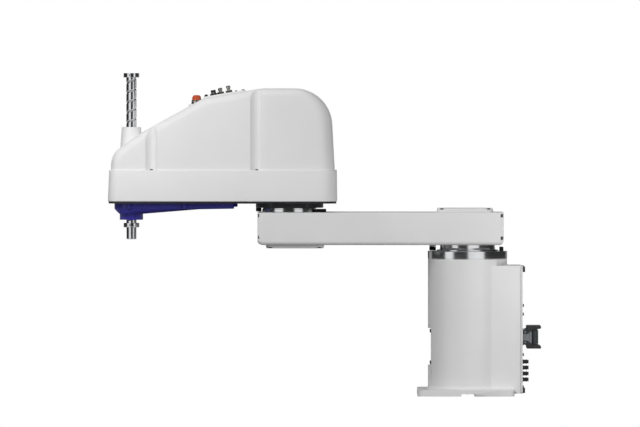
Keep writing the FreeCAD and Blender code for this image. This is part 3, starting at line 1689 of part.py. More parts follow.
def spline_shaft():
    # The plain lower end, on which a tool is clamped, is a little thinner than the grooved stretch.
    body = new_body("spline_shaft", x=shaft_x, z=shaft_low)
    bore, seat, radius = s.shaft_bore, s.shaft_radius, s.spline_radius
    tall, chamfer = shaft_length, s.shaft_chamfer
    shoulder = s.low_collar_lift - s.moving_gap
    corners = [
        (bore, 0),
        (seat - chamfer, 0),
        (seat, chamfer),
        (seat, shoulder),
        (radius, shoulder),
        (radius, tall - chamfer / 2),
        (radius - chamfer / 2, tall),
        (bore, tall),
    ]
    revolve(body, corners)
    groove = sketch_on(body, "XY_Plane", z=s.spline_start)
    circles(groove, [(radius + s.spline_offset, 0)], s.spline_groove)
    grooved = tall - s.spline_start - s.collar_height - 2 * chamfer
    cutter = pocket(body, groove, grooved, True)
    ring = body.newObject("PartDesign::PolarPattern", "spline_grooves")
    ring.Originals = [cutter]
    axis = next(item for item in body.Origin.OriginFeatures if item.Role == "Z_Axis")
    ring.Axis = (axis, [""])
    ring.Angle = 360
    bind(ring, "Occurrences", s.spline_count)
    body.Tip = ring
    keep(body)
    members = []
    high = s.collar_height
    for number, z in enumerate((shaft_low + tall - high, shaft_low + s.low_collar_lift)):
        disc = cylinder(f"collar_disc{number}", s.collar_radius, high, shaft_x, 0, z)
        hole = cylinder(f"collar_hole{number}", radius, 3 * high, shaft_x, 0, z - high)
        members.append(cut(f"collar{number}", disc, hole))
    group = doc.addObject("Part::Compound", "shaft_collars")
    group.Links = members
    group.Label = group.Name
    keep(group)


# User panel, lamp and button on the roof

roof_turn = math.degrees(math.atan2(
    roof_top.value - brow_z.value,
    brow_x.value - crown_x.value,
))
roof_rise = (roof_top - brow_z) / (brow_x - crown_x)
panel_x = brow_x - s.panel_front
panel_z = brow_z + s.panel_front * roof_rise


def on_roof(item, along=0, across=0, up=0):
    # Lays an item on the sloping roof, at a place counted from the panel's middle.
    lean = math.radians(roof_turn)
    cosine = Size(math.cos(lean), f"cos(atan({roof_rise.text}))")
    sine = Size(math.sin(lean), f"sin(atan({roof_rise.text}))")
    along, up = as_size(along), as_size(up)
    item.Placement.Rotation = Rotation(Vector(0, 1, 0), roof_turn)
    place(item, panel_x + along * cosine + up * sine, across, panel_z - along * sine + up * cosine)


def user_panel():
    panel = new_body("user_panel")
    sketch = sketch_on(panel, "XY_Plane")
    half = s.panel_half
    rectangle(sketch, -s.panel_back, s.panel_front, -half, half, s.panel_corner)
    pad(panel, sketch, s.panel_thick)
    top = s.panel_thick
    soften(panel, "Chamfer", s.panel_chamfer, lambda edge: all(near(end.z, top) for end in span(edge)))
    drill(panel, "XY_Plane", top, [(button_x, 0)], s.button_radius + s.button_gap, s.panel_thick)
    on_roof(panel)
    keep(panel)


def signal_connector():
    body = new_body("signal_connector")
    foot = sketch_on(body, "XY_Plane")
    along, across = s.signal_foot_length / 2, s.signal_foot_width / 2
    rectangle(foot, -along, along, -across, across, s.signal_foot_corner)
    pad(body, foot, s.signal_foot_thick)
    shell = sketch_on(body, "XY_Plane", z=s.signal_foot_thick)
    along, across = s.signal_length / 2, s.signal_width / 2
    rectangle(shell, -along, along, -across, across, s.signal_corner)
    pad(body, shell, s.signal_height)
    slot = sketch_on(body, "XY_Plane", z=s.signal_foot_thick + s.signal_height)
    wall = s.signal_wall
    along, across = along - wall, across - wall
    rectangle(slot, -along, along, -across, across, s.signal_corner - wall)
    pocket(body, slot, s.signal_depth)
    on_roof(body, s.signal_along, 0, s.panel_thick)
    keep(body)


def user_air_fittings():
    members = []
    ports = ((s.port1_ahead, s.port1_height), (-s.port2_behind, s.port2_height))
    for number, (along, height) in enumerate(ports):
        neck = cylinder(f"port_foot{number}", s.port_foot_radius, height - s.port_neck)
        sleeve = cylinder(f"port_sleeve{number}", s.port_radius, height)
        bore = cylinder(f"port_bore{number}", s.fitting_bore, height)
        on_roof(neck, along, 0, s.panel_thick)
        on_roof(sleeve, along, 0, s.panel_thick)
        on_roof(bore, along, 0, s.panel_thick + height - s.port_bore_depth)
        members.append(cut(f"port{number}", fused(f"port_outer{number}", [neck, sleeve]), bore))
    group = doc.addObject("Part::Compound", "user_air_fittings")
    group.Links = members
    group.Label = group.Name
    keep(group)


button_x = s.panel_front - s.button_inset


def brake_button():
    bezel = new_body("button_bezel")
    radius, high = s.button_radius + s.button_gap, s.bezel_height
    foot, rim = radius + s.bezel_foot, radius + s.bezel_rim
    revolve(bezel, [(radius, 0), (foot, 0), (rim, high), (radius, high)])
    on_roof(bezel, button_x, 0, s.panel_thick)
    keep(bezel)
    button = new_body("brake_release_button")
    rise = s.bezel_height + s.button_rise
    radius, bevel = s.button_radius, s.button_chamfer
    foot = -1 * (s.panel_thick - s.button_travel - s.moving_gap)
    revolve(button, [(0, foot), (radius, foot), (radius, rise - bevel), (radius - bevel, rise), (0, rise)])
    on_roof(button, button_x, 0, s.panel_thick)
    keep(button)


def warning_lamp():
    base = new_body("lamp_base", x=lamp_x, z=lamp_seat_z)
    radius, high = s.lamp_base_radius, s.lamp_base_height
    cone, step = high - s.lamp_base_cone, radius - s.lamp_base_step
    revolve(base, [(0, 0), (radius, 0), (radius, cone), (step, high), (0, high)])
    keep(base)
    # the lens is a low dome in two cones
    lens = new_body("lamp_lens", x=lamp_x, z=lamp_seat_z + high)
    radius, high, step = s.lens_radius, s.lens_height, s.lens_step
    shoulder = high - s.lens_shoulder
    corners = [(0, 0), (radius, 0), (radius, shoulder), (radius - step / 2, shoulder + step)]
    corners += [(radius - 2 * step, high), (0, high)]
    revolve(lens, corners)
    keep(lens)


def build():
    base_casting()
    locating_pin()
    front_access_plate()
    rear_plate()
    main_connector()
    for name, pivot in zip(("connector_lever_top", "connector_lever_bottom"), lever_pivots()):
        connector_lever(name, *pivot)
    air_fittings()
    base_motor()
    joint1_fixed()
    joint1_turning()
    arm1_casting()
    arm1_end_plates()
    arm1_covers()
    joint2_fixed()
    joint2_turning()
    arm2_casting()
    arm2_cover()
    lower_cover()
    elbow_motor()
    small_motor("z_motor", lift_motor_x, lift_bracket_z + s.bracket_thick, s.lift_motor_length)
    small_motor("u_motor", turn_motor_x, turn_bracket_z + s.bracket_thick, s.turn_motor_length)
    lift_bracket()
    turn_bracket()
    motor_pulley("z_motor_pulley", lift_motor_x, lift_belt_z, lift_bracket_z)
    motor_pulley("u_motor_pulley", turn_motor_x, turn_belt_z, turn_bracket_z)
    driven_pulley("z_driven_pulley", lift_belt_z)
    driven_pulley("u_driven_pulley", turn_belt_z)
    belt("z_belt", lift_belt_z, lift_motor_x)
    belt("u_belt", turn_belt_z, turn_motor_x)
    nut_bearings()
    shoulder = hub_floor + s.nut_bearing_height + s.bearing_gap
    low, high = cover_low - s.spline_nut_drop, cover_low + s.spline_nut_rise
    nut("spline_nut", low, high, shoulder, shoulder + s.nut_flange_thick)
    under = lift_bracket_z - s.bearing_gap
    nut("ball_nut", ball_nut_low, ball_nut_high, under - s.nut_flange_thick, under)
    spline_shaft()
    user_panel()
    signal_connector()
    user_air_fittings()
    brake_button()
    warning_lamp()


def check_and_export():
    doc.recompute()
    for item in doc.Objects:
        if "Invalid" in item.State or "Error" in item.State:
            raise ValueError(f"{item.Name}: {item.State}")
    os.makedirs("parts", exist_ok=True)
    for item in parts:
        if item.Shape.isNull() or not item.Shape.isValid():
            raise ValueError(f"{item.Label} has no valid shape")
        item.Shape.exportStep(f"parts/{item.Label}.step")
    print(f"{len(parts)} nodes")


build()
check_and_export()
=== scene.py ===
import json
import math

import bmesh
import bpy
import numpy as np
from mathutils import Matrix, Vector


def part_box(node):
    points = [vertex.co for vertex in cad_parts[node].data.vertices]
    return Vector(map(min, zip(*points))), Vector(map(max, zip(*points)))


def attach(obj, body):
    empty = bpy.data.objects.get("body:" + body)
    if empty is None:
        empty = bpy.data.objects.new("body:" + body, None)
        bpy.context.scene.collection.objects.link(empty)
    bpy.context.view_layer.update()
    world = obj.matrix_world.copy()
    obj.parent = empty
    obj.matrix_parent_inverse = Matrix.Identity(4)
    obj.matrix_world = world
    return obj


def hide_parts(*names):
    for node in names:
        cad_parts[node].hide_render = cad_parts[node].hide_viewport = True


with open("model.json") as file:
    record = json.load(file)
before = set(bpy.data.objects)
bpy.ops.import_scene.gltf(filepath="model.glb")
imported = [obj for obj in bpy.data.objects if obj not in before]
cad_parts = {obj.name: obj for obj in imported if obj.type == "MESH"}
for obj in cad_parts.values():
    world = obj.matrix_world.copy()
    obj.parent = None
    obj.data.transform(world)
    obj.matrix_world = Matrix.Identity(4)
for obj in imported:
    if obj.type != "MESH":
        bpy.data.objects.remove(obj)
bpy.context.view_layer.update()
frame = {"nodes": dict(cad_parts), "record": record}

# Lengths in the dictionaries are millimetres, as on a drawing; meshes are made in metres.
mm = 0.001
bodyOf = {node: body for body, nodes in frame["record"]["behaviour"]["bodies"].items() for node in nodes}
slotOf = {name: item.data.materials[0].name.split(".")[0] for name, item in frame["nodes"].items()}


def boxOf(node):
    low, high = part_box(node)
    return np.array(low) / mm, np.array(high) / mm


# Camera: far off on the robot's left, the base on the right of the picture. It stands a little higher
# than the picture's middle and nearer to the base, and looks at the middle.

photo = {"width": 640, "height": 427, "mmPerPixel": 2.529, "axisPixel": 467.5, "floorPixel": 394.8}


def addCamera(look):
    data = bpy.data.cameras.new("camera")
    camera = bpy.data.objects.new("camera", data)
    bpy.context.scene.collection.objects.link(camera)
    scale = photo["mmPerPixel"] * mm
    middleX = (photo["axisPixel"] - photo["width"] / 2) * scale
    middleZ = (photo["floorPixel"] - photo["height"] / 2) * scale
    camera.location = (look["x"], look["distance"], look["z"])
    toward = Vector((middleX, 0, middleZ)) - camera.location
    camera.rotation_euler = toward.to_track_quat("-Z", "Y").to_euler()
    data.sensor_width = 36
    data.lens = data.sensor_width * toward.length / (photo["width"] * scale)
    data.clip_end = 100
    bpy.context.scene.camera = camera


addCamera({"distance": 18, "x": 0.25, "z": 0.7})
print("camera done")


# Shader maths: a wire wraps a socket, and sums on wires add Math nodes

class Wire:
    def __init__(self, graph, socket):
        self.graph = graph
        self.socket = socket

    def maths(self, operation, *values):
        return self.graph.node("ShaderNodeMath", {"operation": operation}, dict(enumerate(values)))

    def __add__(self, other):
        return self.maths("ADD", self, other)

    def __sub__(self, other):
        return self.maths("SUBTRACT", self, other)

    def __rsub__(self, other):
        return self.maths("SUBTRACT", other, self)

    def __mul__(self, other):
        return self.maths("MULTIPLY", self, other)

    def __abs__(self):
        return self.maths("ABSOLUTE", self)

    __radd__ = __add__
    __rmul__ = __mul__


class Graph:
    def __init__(self, owner):
        owner.use_nodes = True
        self.tree = owner.node_tree
        self.tree.nodes.clear()

    def node(self, kind, settings=None, inputs=None, out=0):
        made = self.tree.nodes.new(kind)
        for key, value in (settings or {}).items():
            if key == "stops":
                self.setStops(made.color_ramp, value)
            else:
                setattr(made, key, value)
        for key, value in (inputs or {}).items():
            if isinstance(value, Wire):
                self.tree.links.new(value.socket, made.inputs[key])
            elif value is not None:
                made.inputs[key].default_value = value
        return Wire(self, made.outputs[out]) if made.outputs else made

    def setStops(self, ramp, stops):
        while len(ramp.elements) < len(stops):
            ramp.elements.new(1)
        for element, (place, colour) in zip(ramp.elements, stops):
            element.position = place
            element.color = (*colour, 1)

    def blendColours(self, factor, first, second):
        colours = {0: factor, 6: first, 7: second}
        colours = {key: (*value, 1) if isinstance(value, tuple) else value for key, value in colours.items()}
        return self.node("ShaderNodeMix", {"data_type": "RGBA"}, colours, out=2)

    def clouds(self, size, stretch=(1, 1, 1), detail=2):
        # soft noise whose lumps are about size millimetres, longer where stretch is under 1
        place = self.node("ShaderNodeTexCoord", out="Object")
        place = self.node("ShaderNodeMapping", {}, {"Vector": place, "Scale": stretch})
        scale = 1 / (size * mm)
        return self.node("ShaderNodeTexNoise", {}, {"Vector": place, "Scale": scale, "Detail": detail})

    def step(self, value, low, high, first=0, last=1):
        inputs = {"Value": value, "From Min": low, "From Max": high, "To Min": first, "To Max": last}
        return self.node("ShaderNodeMapRange", {"interpolation_type": "SMOOTHSTEP"}, inputs)

    def seenBy(self, kind):
        # 1 for rays of this kind: Camera, Glossy or Transmission
        return self.node("ShaderNodeLightPath", out=f"Is {kind} Ray")

    def coordinate(self, axis, kind="Object"):
        place = self.node("ShaderNodeTexCoord", out=kind)
        return self.node("ShaderNodeSeparateXYZ", {}, {0: place}, out=axis)


def shade(level):
    # a screen level from 0 to 255 as linear light
    value = level / 255
    return value / 12.92 if value <= 0.04045 else ((value + 0.055) / 1.055) ** 2.4


def tint(red, green, blue):
    return shade(red), shade(green), shade(blue)


def finish(name, look):
    # One surface: two close tones in large clouds, grain in its roughness and in a fine bump,
    # and constants straight on the shader.
    material = bpy.data.materials.new(name)
    graph = Graph(material)
    stretch = look.get("stretch", (1, 1, 1))
    cloud = graph.clouds(look["cloud"], detail=3)
    grain = graph.clouds(look["grain"], stretch)
    tone = graph.step(cloud, 0.3, 0.7)
    colour = graph.blendColours(tone, look["tones"][0], look["tones"][1])
    if "specks" in look:
        colour = graph.blendColours(graph.step(grain, 0.62, 0.75), colour, look["specks"])
    if "lower" in look:
        edge = look["lower"]["height"] * mm
        part = graph.step(graph.coordinate("Z"), edge, edge + 0.3 * mm)
        colour = graph.blendColours(part, look["lower"]["colour"], colour)
    rough = look["rough"] + (grain - 0.5) * look["spread"] + (cloud - 0.5) * look["spread"]
    bumpInputs = {"Height": grain, "Strength": look["bump"], "Distance": look["grain"] * mm}
    normal = graph.node("ShaderNodeBump", {}, bumpInputs)
    inputs = {"Base Color": colour, "Roughness": rough, "Normal": normal, "Metallic": look.get("metal", 0)}
    inputs.update(look.get("fixed", {}))
    shader = graph.node("ShaderNodeBsdfPrincipled", {}, inputs)
    graph.node("ShaderNodeOutputMaterial", {}, {"Surface": shader})
    return material


def surface(first, last, cloud, grain, rough, spread, bump, metal=0, **more):
    # two screen tones, the sizes in millimetres of clouds and grain, roughness and how far it varies
    values = {"tones": (tint(*first), tint(*last)), "cloud": cloud, "grain": grain, "rough": rough}
    values.update({"spread": spread, "bump": bump, "metal": metal})
    return {**values, **more}


def makeFinishes():
    white = surface((224, 224, 224), (229, 229, 229), 160, 0.9, 0.42, 0.10, 0.10)
    white["fixed"] = {"Coat Weight": 0.12, "Coat Roughness": 0.3}
    polished = surface((214, 215, 217), (226, 227, 229), 40, 0.5, 0.17, 0.08, 0.03, 1)
    polished["stretch"] = (0.02, 0.02, 1)
    ground = dict(polished, rough=0.14, spread=0.07, grain=0.35)
    black = surface((28, 29, 31), (42, 43, 45), 10, 0.45, 0.38, 0.14, 0.06)
    lamp = surface((176, 62, 22), (196, 78, 30), 9, 0.8, 0.2, 0.08, 0.03)
    lamp["fixed"] = {"Coat Weight": 0.6, "Coat Roughness": 0.08}
    looks = {
        "white_casting": white,
        "white_moulding": surface((228, 228, 228), (232, 232, 232), 220, 0.55, 0.45, 0.08, 0.07),
        "blue_moulding": surface((56, 50, 166), (66, 60, 178), 60, 0.6, 0.36, 0.10, 0.08),
        "dark_casting": surface((58, 59, 61), (70, 71, 73), 25, 0.8, 0.42, 0.16, 0.14, 0.7),
        "raw_casting": surface((150, 151, 153), (172, 173, 175), 30, 1.1, 0.5, 0.2, 0.2, 0.8),
        "polished_steel": polished,
        "ground_steel": ground,
        "black_steel": surface((36, 37, 39), (50, 51, 53), 12, 0.4, 0.36, 0.14, 0.05, 0.75),
        "screw_steel": surface((62, 63, 66), (84, 85, 88), 5, 0.3, 0.32, 0.16, 0.06, 0.9),
        "plate_metal": dict(white, tones=(tint(222, 222, 221), tint(226, 226, 226)), grain=0.7),
        "connector_grey": surface((122, 126, 130), (136, 140, 143), 18, 0.7, 0.42, 0.16, 0.12, 0.35),
        "cap_grey": surface((62, 66, 67), (76, 80, 81), 14, 0.6, 0.44, 0.12, 0.1, 0.2),
        "black_plastic": black,
        "black_rubber": surface((24, 24, 25), (34, 34, 35), 12, 0.5, 0.7, 0.16, 0.12),
        "motor_black": dict(black, grain=0.9),
        "nickel": surface((188, 186, 180), (206, 204, 199), 8, 0.35, 0.22, 0.1, 0.04, 1),
        "lamp_red": lamp,
        "stop_block": dict(ground, lower={"height": 374, "colour": tint(16, 16, 17)}),
    }
    return {name: finish(name + "_look", look) for name, look in looks.items()}


finishes = makeFinishes()
for nodeName, item in frame["nodes"].items():
    item.data.materials[0] = finishes[slotOf[nodeName]]
print("finishes done")


# Form makers. A form is a pair: points (n, 3) in millimetres, and faces as lists of point numbers.

def gridFaces(rows, columns, closeRows=False, closeColumns=False):
    # quads between neighbouring points of a grid numbered row by row
    i = np.arange(rows if closeRows else rows - 1)[:, None]
    j = np.arange(columns if closeColumns else columns - 1)[None, :]
    up, right = (i + 1) % rows, (j + 1) % columns
    corners = [i * columns + j, i * columns + right, up * columns + right, up * columns + j]
    return np.stack(corners, -1).reshape(-1, 4).tolist()


def unit(vectors):
    return vectors / np.linalg.norm(vectors, axis=-1, keepdims=True)


def bent(corners, closed=True, bend=9):
    # A line through (u, v) or (u, v, radius) corners. A round corner is an arc that touches both
    # runs: its centre lies radius / sin(half the corner's angle) along the bisector.
    spots = np.array([(*corner, 0)[:3] for corner in corners], float)
    pieces = []
    for i, radius in enumerate(spots[:, 2]):
        here = spots[i, :2]
        if radius == 0 or (not closed and i in (0, len(spots) - 1)):
            pieces.append(here[None])
            continue
        back = unit(spots[i - 1, :2] - here)
        ahead = unit(spots[(i + 1) % len(spots), :2] - here)
        half = math.acos(np.clip(back @ ahead, -1, 1)) / 2
        centre = here + unit(back + ahead) * radius / math.sin(half)
        start = here + back * radius / math.tan(half) - centre
        turn = math.pi - 2 * half
        count = max(2, math.ceil(math.degrees(turn) / bend) + 1)
        way = 1 if ahead[0] * back[1] - ahead[1] * back[0] < 0 else -1
        angles = math.atan2(start[1], start[0]) - way * np.linspace(0, turn, count)
        pieces.append(centre + radius * np.stack([np.cos(angles), np.sin(angles)], -1))
    return np.concatenate(pieces)


def inset(loop, amount):
    # each point moves inwards along the two edges' normals, so that every edge moves by the amount
    ahead = unit(np.roll(loop, -1, 0) - loop)
    behind = unit(loop - np.roll(loop, 1, 0))
    first = np.stack([-ahead[:, 1], ahead[:, 0]], -1)
    second = np.stack([-behind[:, 1], behind[:, 0]], -1)
    return loop + amount * (first + second) / (1 + (first * second).sum(-1))[:, None]


def seated(uvw, axes):
    # points (u, v, w) in a piece's own axes, put in the robot's
    origin, across, up, out = (np.array(axis, float) for axis in axes)
    return origin + uvw[:, :1] * across + uvw[:, 1:2] * up + uvw[:, 2:] * out


flat = ((0, 0, 0), (1, 0, 0), (0, 1, 0), (0, 0, 1))
facingFront = ((0, 0, 0), (0, 1, 0), (0, 0, 1), (1, 0, 0))
facingRear = ((0, 0, 0), (0, -1, 0), (0, 0, 1), (-1, 0, 0))
facingDown = ((0, 0, 0), (1, 0, 0), (0, -1, 0), (0, 0, -1))


def standing(x, z=0, axes=flat):
    # the same axes, moved along the robot's middle
    return ((x, 0, z), *axes[1:])


def stacked(loops, heights, axes=flat, ring=False):
    # loops of equal count at their heights, walls between them, a flat face on each end or, for a
    # ring, a wall back to the first loop
    rows, count = len(loops), len(loops[0])
    uv = np.concatenate(loops)
    uvw = np.column_stack([uv, np.repeat(np.array(heights, float), count)])
    faces = gridFaces(rows, count, closeRows=ring, closeColumns=True)
    if not ring:
        faces += [list(range(count)), list(range((rows - 1) * count, rows * count))]
    return seated(uvw, axes), faces


def profiled(loop, profile, axes=flat, start=0, ring=False):
    # the outline carries a profile of (inset, height)
    heights = [start + height for _, height in profile]
    return stacked([inset(loop, amount) for amount, _ in profile], heights, axes, ring)


def slab(corners, low, high, soft=0.8, axes=flat, softLow=None, bend=9):
    # a plate of the outline with rounded rims: the rim's inset and height follow a quarter circle
    loop = bent(corners, bend=bend)
    quarter = np.linspace(0, math.pi / 2, 5)
    softLow = soft if softLow is None else softLow
    levels = [(softLow * (1 - math.sin(a)), low + softLow * (1 - math.cos(a))) for a in quarter]
    levels += [(soft * (1 - math.cos(a)), high - soft * (1 - math.sin(a))) for a in quarter]
    return profiled(loop, levels, axes)


def rectangle(u1, u2, v1, v2, radius=0):
    return [(u1, v1, radius), (u2, v1, radius), (u2, v2, radius), (u1, v2, radius)]


def turned(corners, axes=flat, count=96, closed=True, reach=None):
    # A profile of (radius, height) goes round the axis: (r cos a, r sin a, h). The reach function
    # may shorten the radius by angle and height.
    profile = bent(corners, closed=closed, bend=12)
    angles = np.linspace(0, 2 * math.pi, count, endpoint=False)
    radius, angle = np.meshgrid(profile[:, 0], angles, indexing="ij")
    height = np.repeat(profile[:, 1:], count, 1)
    if reach:
        radius = reach(radius, angle, height)
    uvw = np.stack([radius * np.cos(angle), radius * np.sin(angle), height], -1).reshape(-1, 3)
    return seated(uvw, axes), gridFaces(len(profile), count, closeRows=closed, closeColumns=True)


def moved(form, spots, axes=flat):
    # the form once at each spot, its own axes turned to the given ones
    points, faces = form
    placed = [seated(points, (spot, *axes[1:])) for spot in spots]
    count = len(points)
    copies = [[n + k * count for n in face] for k in range(len(spots)) for face in faces]
    return np.concatenate(placed), copies


def joined(*forms):
    points, faces, count = [], [], 0
    for spots, polygons in forms:
        points.append(spots)
        faces += [[n + count for n in polygon] for polygon in polygons]
        count += len(spots)
    return np.concatenate(points), faces


def capScrew(radius, rise, key):
    # A socket-head screw from its seat up. Rings of points: outer ones round, the socket's three
    # hexagonal, whose radius at an angle is flat / cos(angle from the nearest flat's middle).
    count = 36
    angle = np.linspace(0, 2 * math.pi, count, endpoint=False)
    hexagon = key / np.cos((angle % (math.pi / 3)) - math.pi / 6)
    even = np.ones(count)
    rings = [(0 * even, 0), (radius * even, 0), (radius * even, rise - 0.35)]
    rings += [((radius - 0.35) * even, rise), (hexagon * 1.08, rise), (hexagon, rise - 0.2)]
    rings += [(hexagon, 0.45 * rise), (0 * even, 0.35 * rise)]
    spots = [np.column_stack([r * np.cos(angle), r * np.sin(angle), h * even]) for r, h in rings]
    return np.concatenate(spots), gridFaces(len(rings), count, closeColumns=True)


def place(mesh, name, body, slot, look, nodes, angle):
    item = bpy.data.objects.new(name, mesh)
    bpy.context.scene.collection.objects.link(item)
    mesh.materials.clear()
    mesh.materials.append(finishes[look or slot])
    mesh.shade_smooth()
    mesh.set_sharp_from_angle(angle=math.radians(angle))
    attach(item, body)
    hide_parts(*nodes)
    return item


def piece(name, form, nodes, look=None, angle=32, slot=None):
    # a new piece that takes its body and finish from the first of the nodes that it stands for
    points, faces = form
    mesh = bpy.data.meshes.new(name)
    mesh.from_pydata((points * mm).tolist(), [], faces)
    tidyMesh(mesh)
    place(mesh, name, bodyOf[nodes[0]], slot or slotOf[nodes[0]], look, nodes, angle)


def extra(name, form, node, slot):
    # a part of a node's form in a finish of its own
    piece(name, form, [node], look=slot, slot=slot)


def tidyMesh(mesh):
    # doubles merged, which also closes poles and seams, and every shell turned outwards
    work = bmesh.new()
    work.from_mesh(mesh)
    bmesh.ops.remove_doubles(work, verts=work.verts, dist=2e-6)
    bmesh.ops.dissolve_degenerate(work, edges=work.edges, dist=1e-7)
    bmesh.ops.recalc_face_normals(work, faces=work.faces)
    work.to_mesh(mesh)
    work.free()


def dressed(name, node, angle=30):
    # a merged, smooth-shaded copy of a solid whose form is right as it is
    mesh = frame["nodes"][node].data.copy()
    mesh.name = name
    work = bmesh.new()
    work.from_mesh(mesh)
    bmesh.ops.remove_doubles(work, verts=work.verts, dist=2e-6)
    work.to_mesh(mesh)
    work.free()
    for layer in list(mesh.uv_layers):
        mesh.uv_layers.remove(layer)
    item = place(mesh, name, bodyOf[node], slotOf[node], None, [node], angle)
    weighted = item.modifiers.new("weighted", "WEIGHTED_NORMAL")
    weighted.keep_sharp = True


# Arm 2's moulded cover: one surface P(s, t). The side view's line S(s) runs over the roof from the
# front to the rear; across it, t runs from the left wall round the upper edge and over to the right.

cover = {
    "wall": 4,
    "frontLow": (904.5, 489.5),
    "nose": (898, 610, 52),
    "slope": (825.7, 661.3, 60),
    "brow": (667, 749.2, 40),
    "crown": (520, 774.6, 150),
    "rearTop": (347.2, 774.6, 95),
    "rearLow": (331.6, 489.5),
    "rearHalf": 100,
    "frontHalf": 72,
    "taperStart": 560,
    "taperSoft": 26,
    "skirtTop": 568.5,
    "roofEdge": 20,
    "rearEdge": 42,
    "frontEdge": 22,
    "rearEdgeReach": (70, 90),
    "frontEdgeReach": (860, 40),
    "middleHalf": 30,
    "middleGap": 2.5,
    "evenWall": (506, 826),
    "flutes": (531.5, 797),
    "fluteRadius": 14,
    "fluteOffset": 4,
    "postInset": 4.7,
    "shaftX": 850,
    "chimneyHole": 22.9,
    "chimneyBore": 21.5,
    "chimneyFoot": (29.4, 606),
    "chimneyTop": (24.2, 677.3),
    "lampX": 685,
    "lampZ": 735,
    "lampHole": 17.5,
    "seatDeep": 30,
    "seatFoot": 20.6,
    "seatTop": 19.9,
    "lampFloor": 733,
    "skirtStep": 6,
    "skirtEnds": (4, 2.5),
    "skirtRear": 48,
    "skirtFront": 32,
    "evenStep": 46,
    "noseCuts": (888, 903, 16),
    "rearCuts": (-20, 82, 14),
    "holeGap": 2.2,
    "fluteCuts": 25,
    "skirtDraft": 2.2,
    "skirtLean": 1.15,
}


def halfWidth(x):
    # level to the taper's start, then a straight taper; the bend is a softened ramp
    slope = (cover["rearHalf"] - cover["frontHalf"]) / (cover["frontLow"][0] - cover["taperStart"])
    past = x - cover["taperStart"]
    ramp = (past + np.sqrt(past**2 + cover["taperSoft"] ** 2)) / 2
    return cover["rearHalf"] - slope * ramp


def sideLine(low):
    # the side view's line above a level, as evenly walked points with their outward normals
    names = ("frontLow", "nose", "slope", "brow", "crown", "rearTop", "rearLow")
    line = bent([cover[name] for name in names], closed=False, bend=1.5)
    walked = np.concatenate([[0], np.cumsum(np.linalg.norm(np.diff(line, axis=0), axis=1))])
    fine = np.linspace(0, walked[-1], 6000)
    spots = np.stack([np.interp(fine, walked, line[:, k]) for k in (0, 1)], -1)
    ahead = np.gradient(spots, axis=0)
    normals = unit(np.stack([ahead[:, 1], -ahead[:, 0]], -1))
    keep = spots[:, 1] > low
    return spots[keep], normals[keep]


def stations(spots):
    # where to cut the cover: evenly, closely on the bends, and closely beside holes and flutes
    x = spots[:, 0]
    number = np.arange(len(x))
    top = x.argmin()
    picks = [number[:: cover["evenStep"]], number[-1:]]
    behind, ahead, step = cover["rearCuts"]
    rear = cover["rearTop"][0]
    for low, high, every in (cover["noseCuts"], (rear + behind, rear + ahead, step)):
        picks.append(number[(x > low) & (x < high)][::every])
    roof = number[(spots[:, 1] > cover["skirtTop"] + 60) & (number < top)]
    holes = [(cover["shaftX"], 26), (cover["lampX"], 20)]
    wanted = [np.arange(middle - reach, middle + reach, cover["holeGap"]) for middle, reach in holes]
    turn = np.linspace(-math.pi / 2, math.pi / 2, cover["fluteCuts"])
    wanted += [middle + cover["fluteRadius"] * np.sin(turn) * 0.93 for middle in cover["flutes"]]
    for places in wanted:
        found = np.searchsorted(x[roof][::-1], places).clip(0, len(roof) - 1)
        picks.append(roof[::-1][found])
    chosen = np.unique(np.concatenate(picks))
    kept = chosen[np.concatenate([[True], np.diff(chosen) > 4])]
    kept[-1] = number[-1]
    return kept


def edgeRound(spots):
    # the upper edge's radius: larger where the line stands upright at the rear
    ahead, over = cover["rearEdgeReach"]
    rear = np.clip((cover["rearTop"][0] + ahead - spots[:, 0]) / over, 0, 1)
    start, over = cover["frontEdgeReach"]
    front = np.clip((spots[:, 0] - start) / over, 0, 1)
    even = cover["roofEdge"]
    rearShare, frontShare = (share * share * (3 - 2 * share) for share in (rear, front))
    return even + rearShare * (cover["rearEdge"] - even) + frontShare * (cover["frontEdge"] - even)


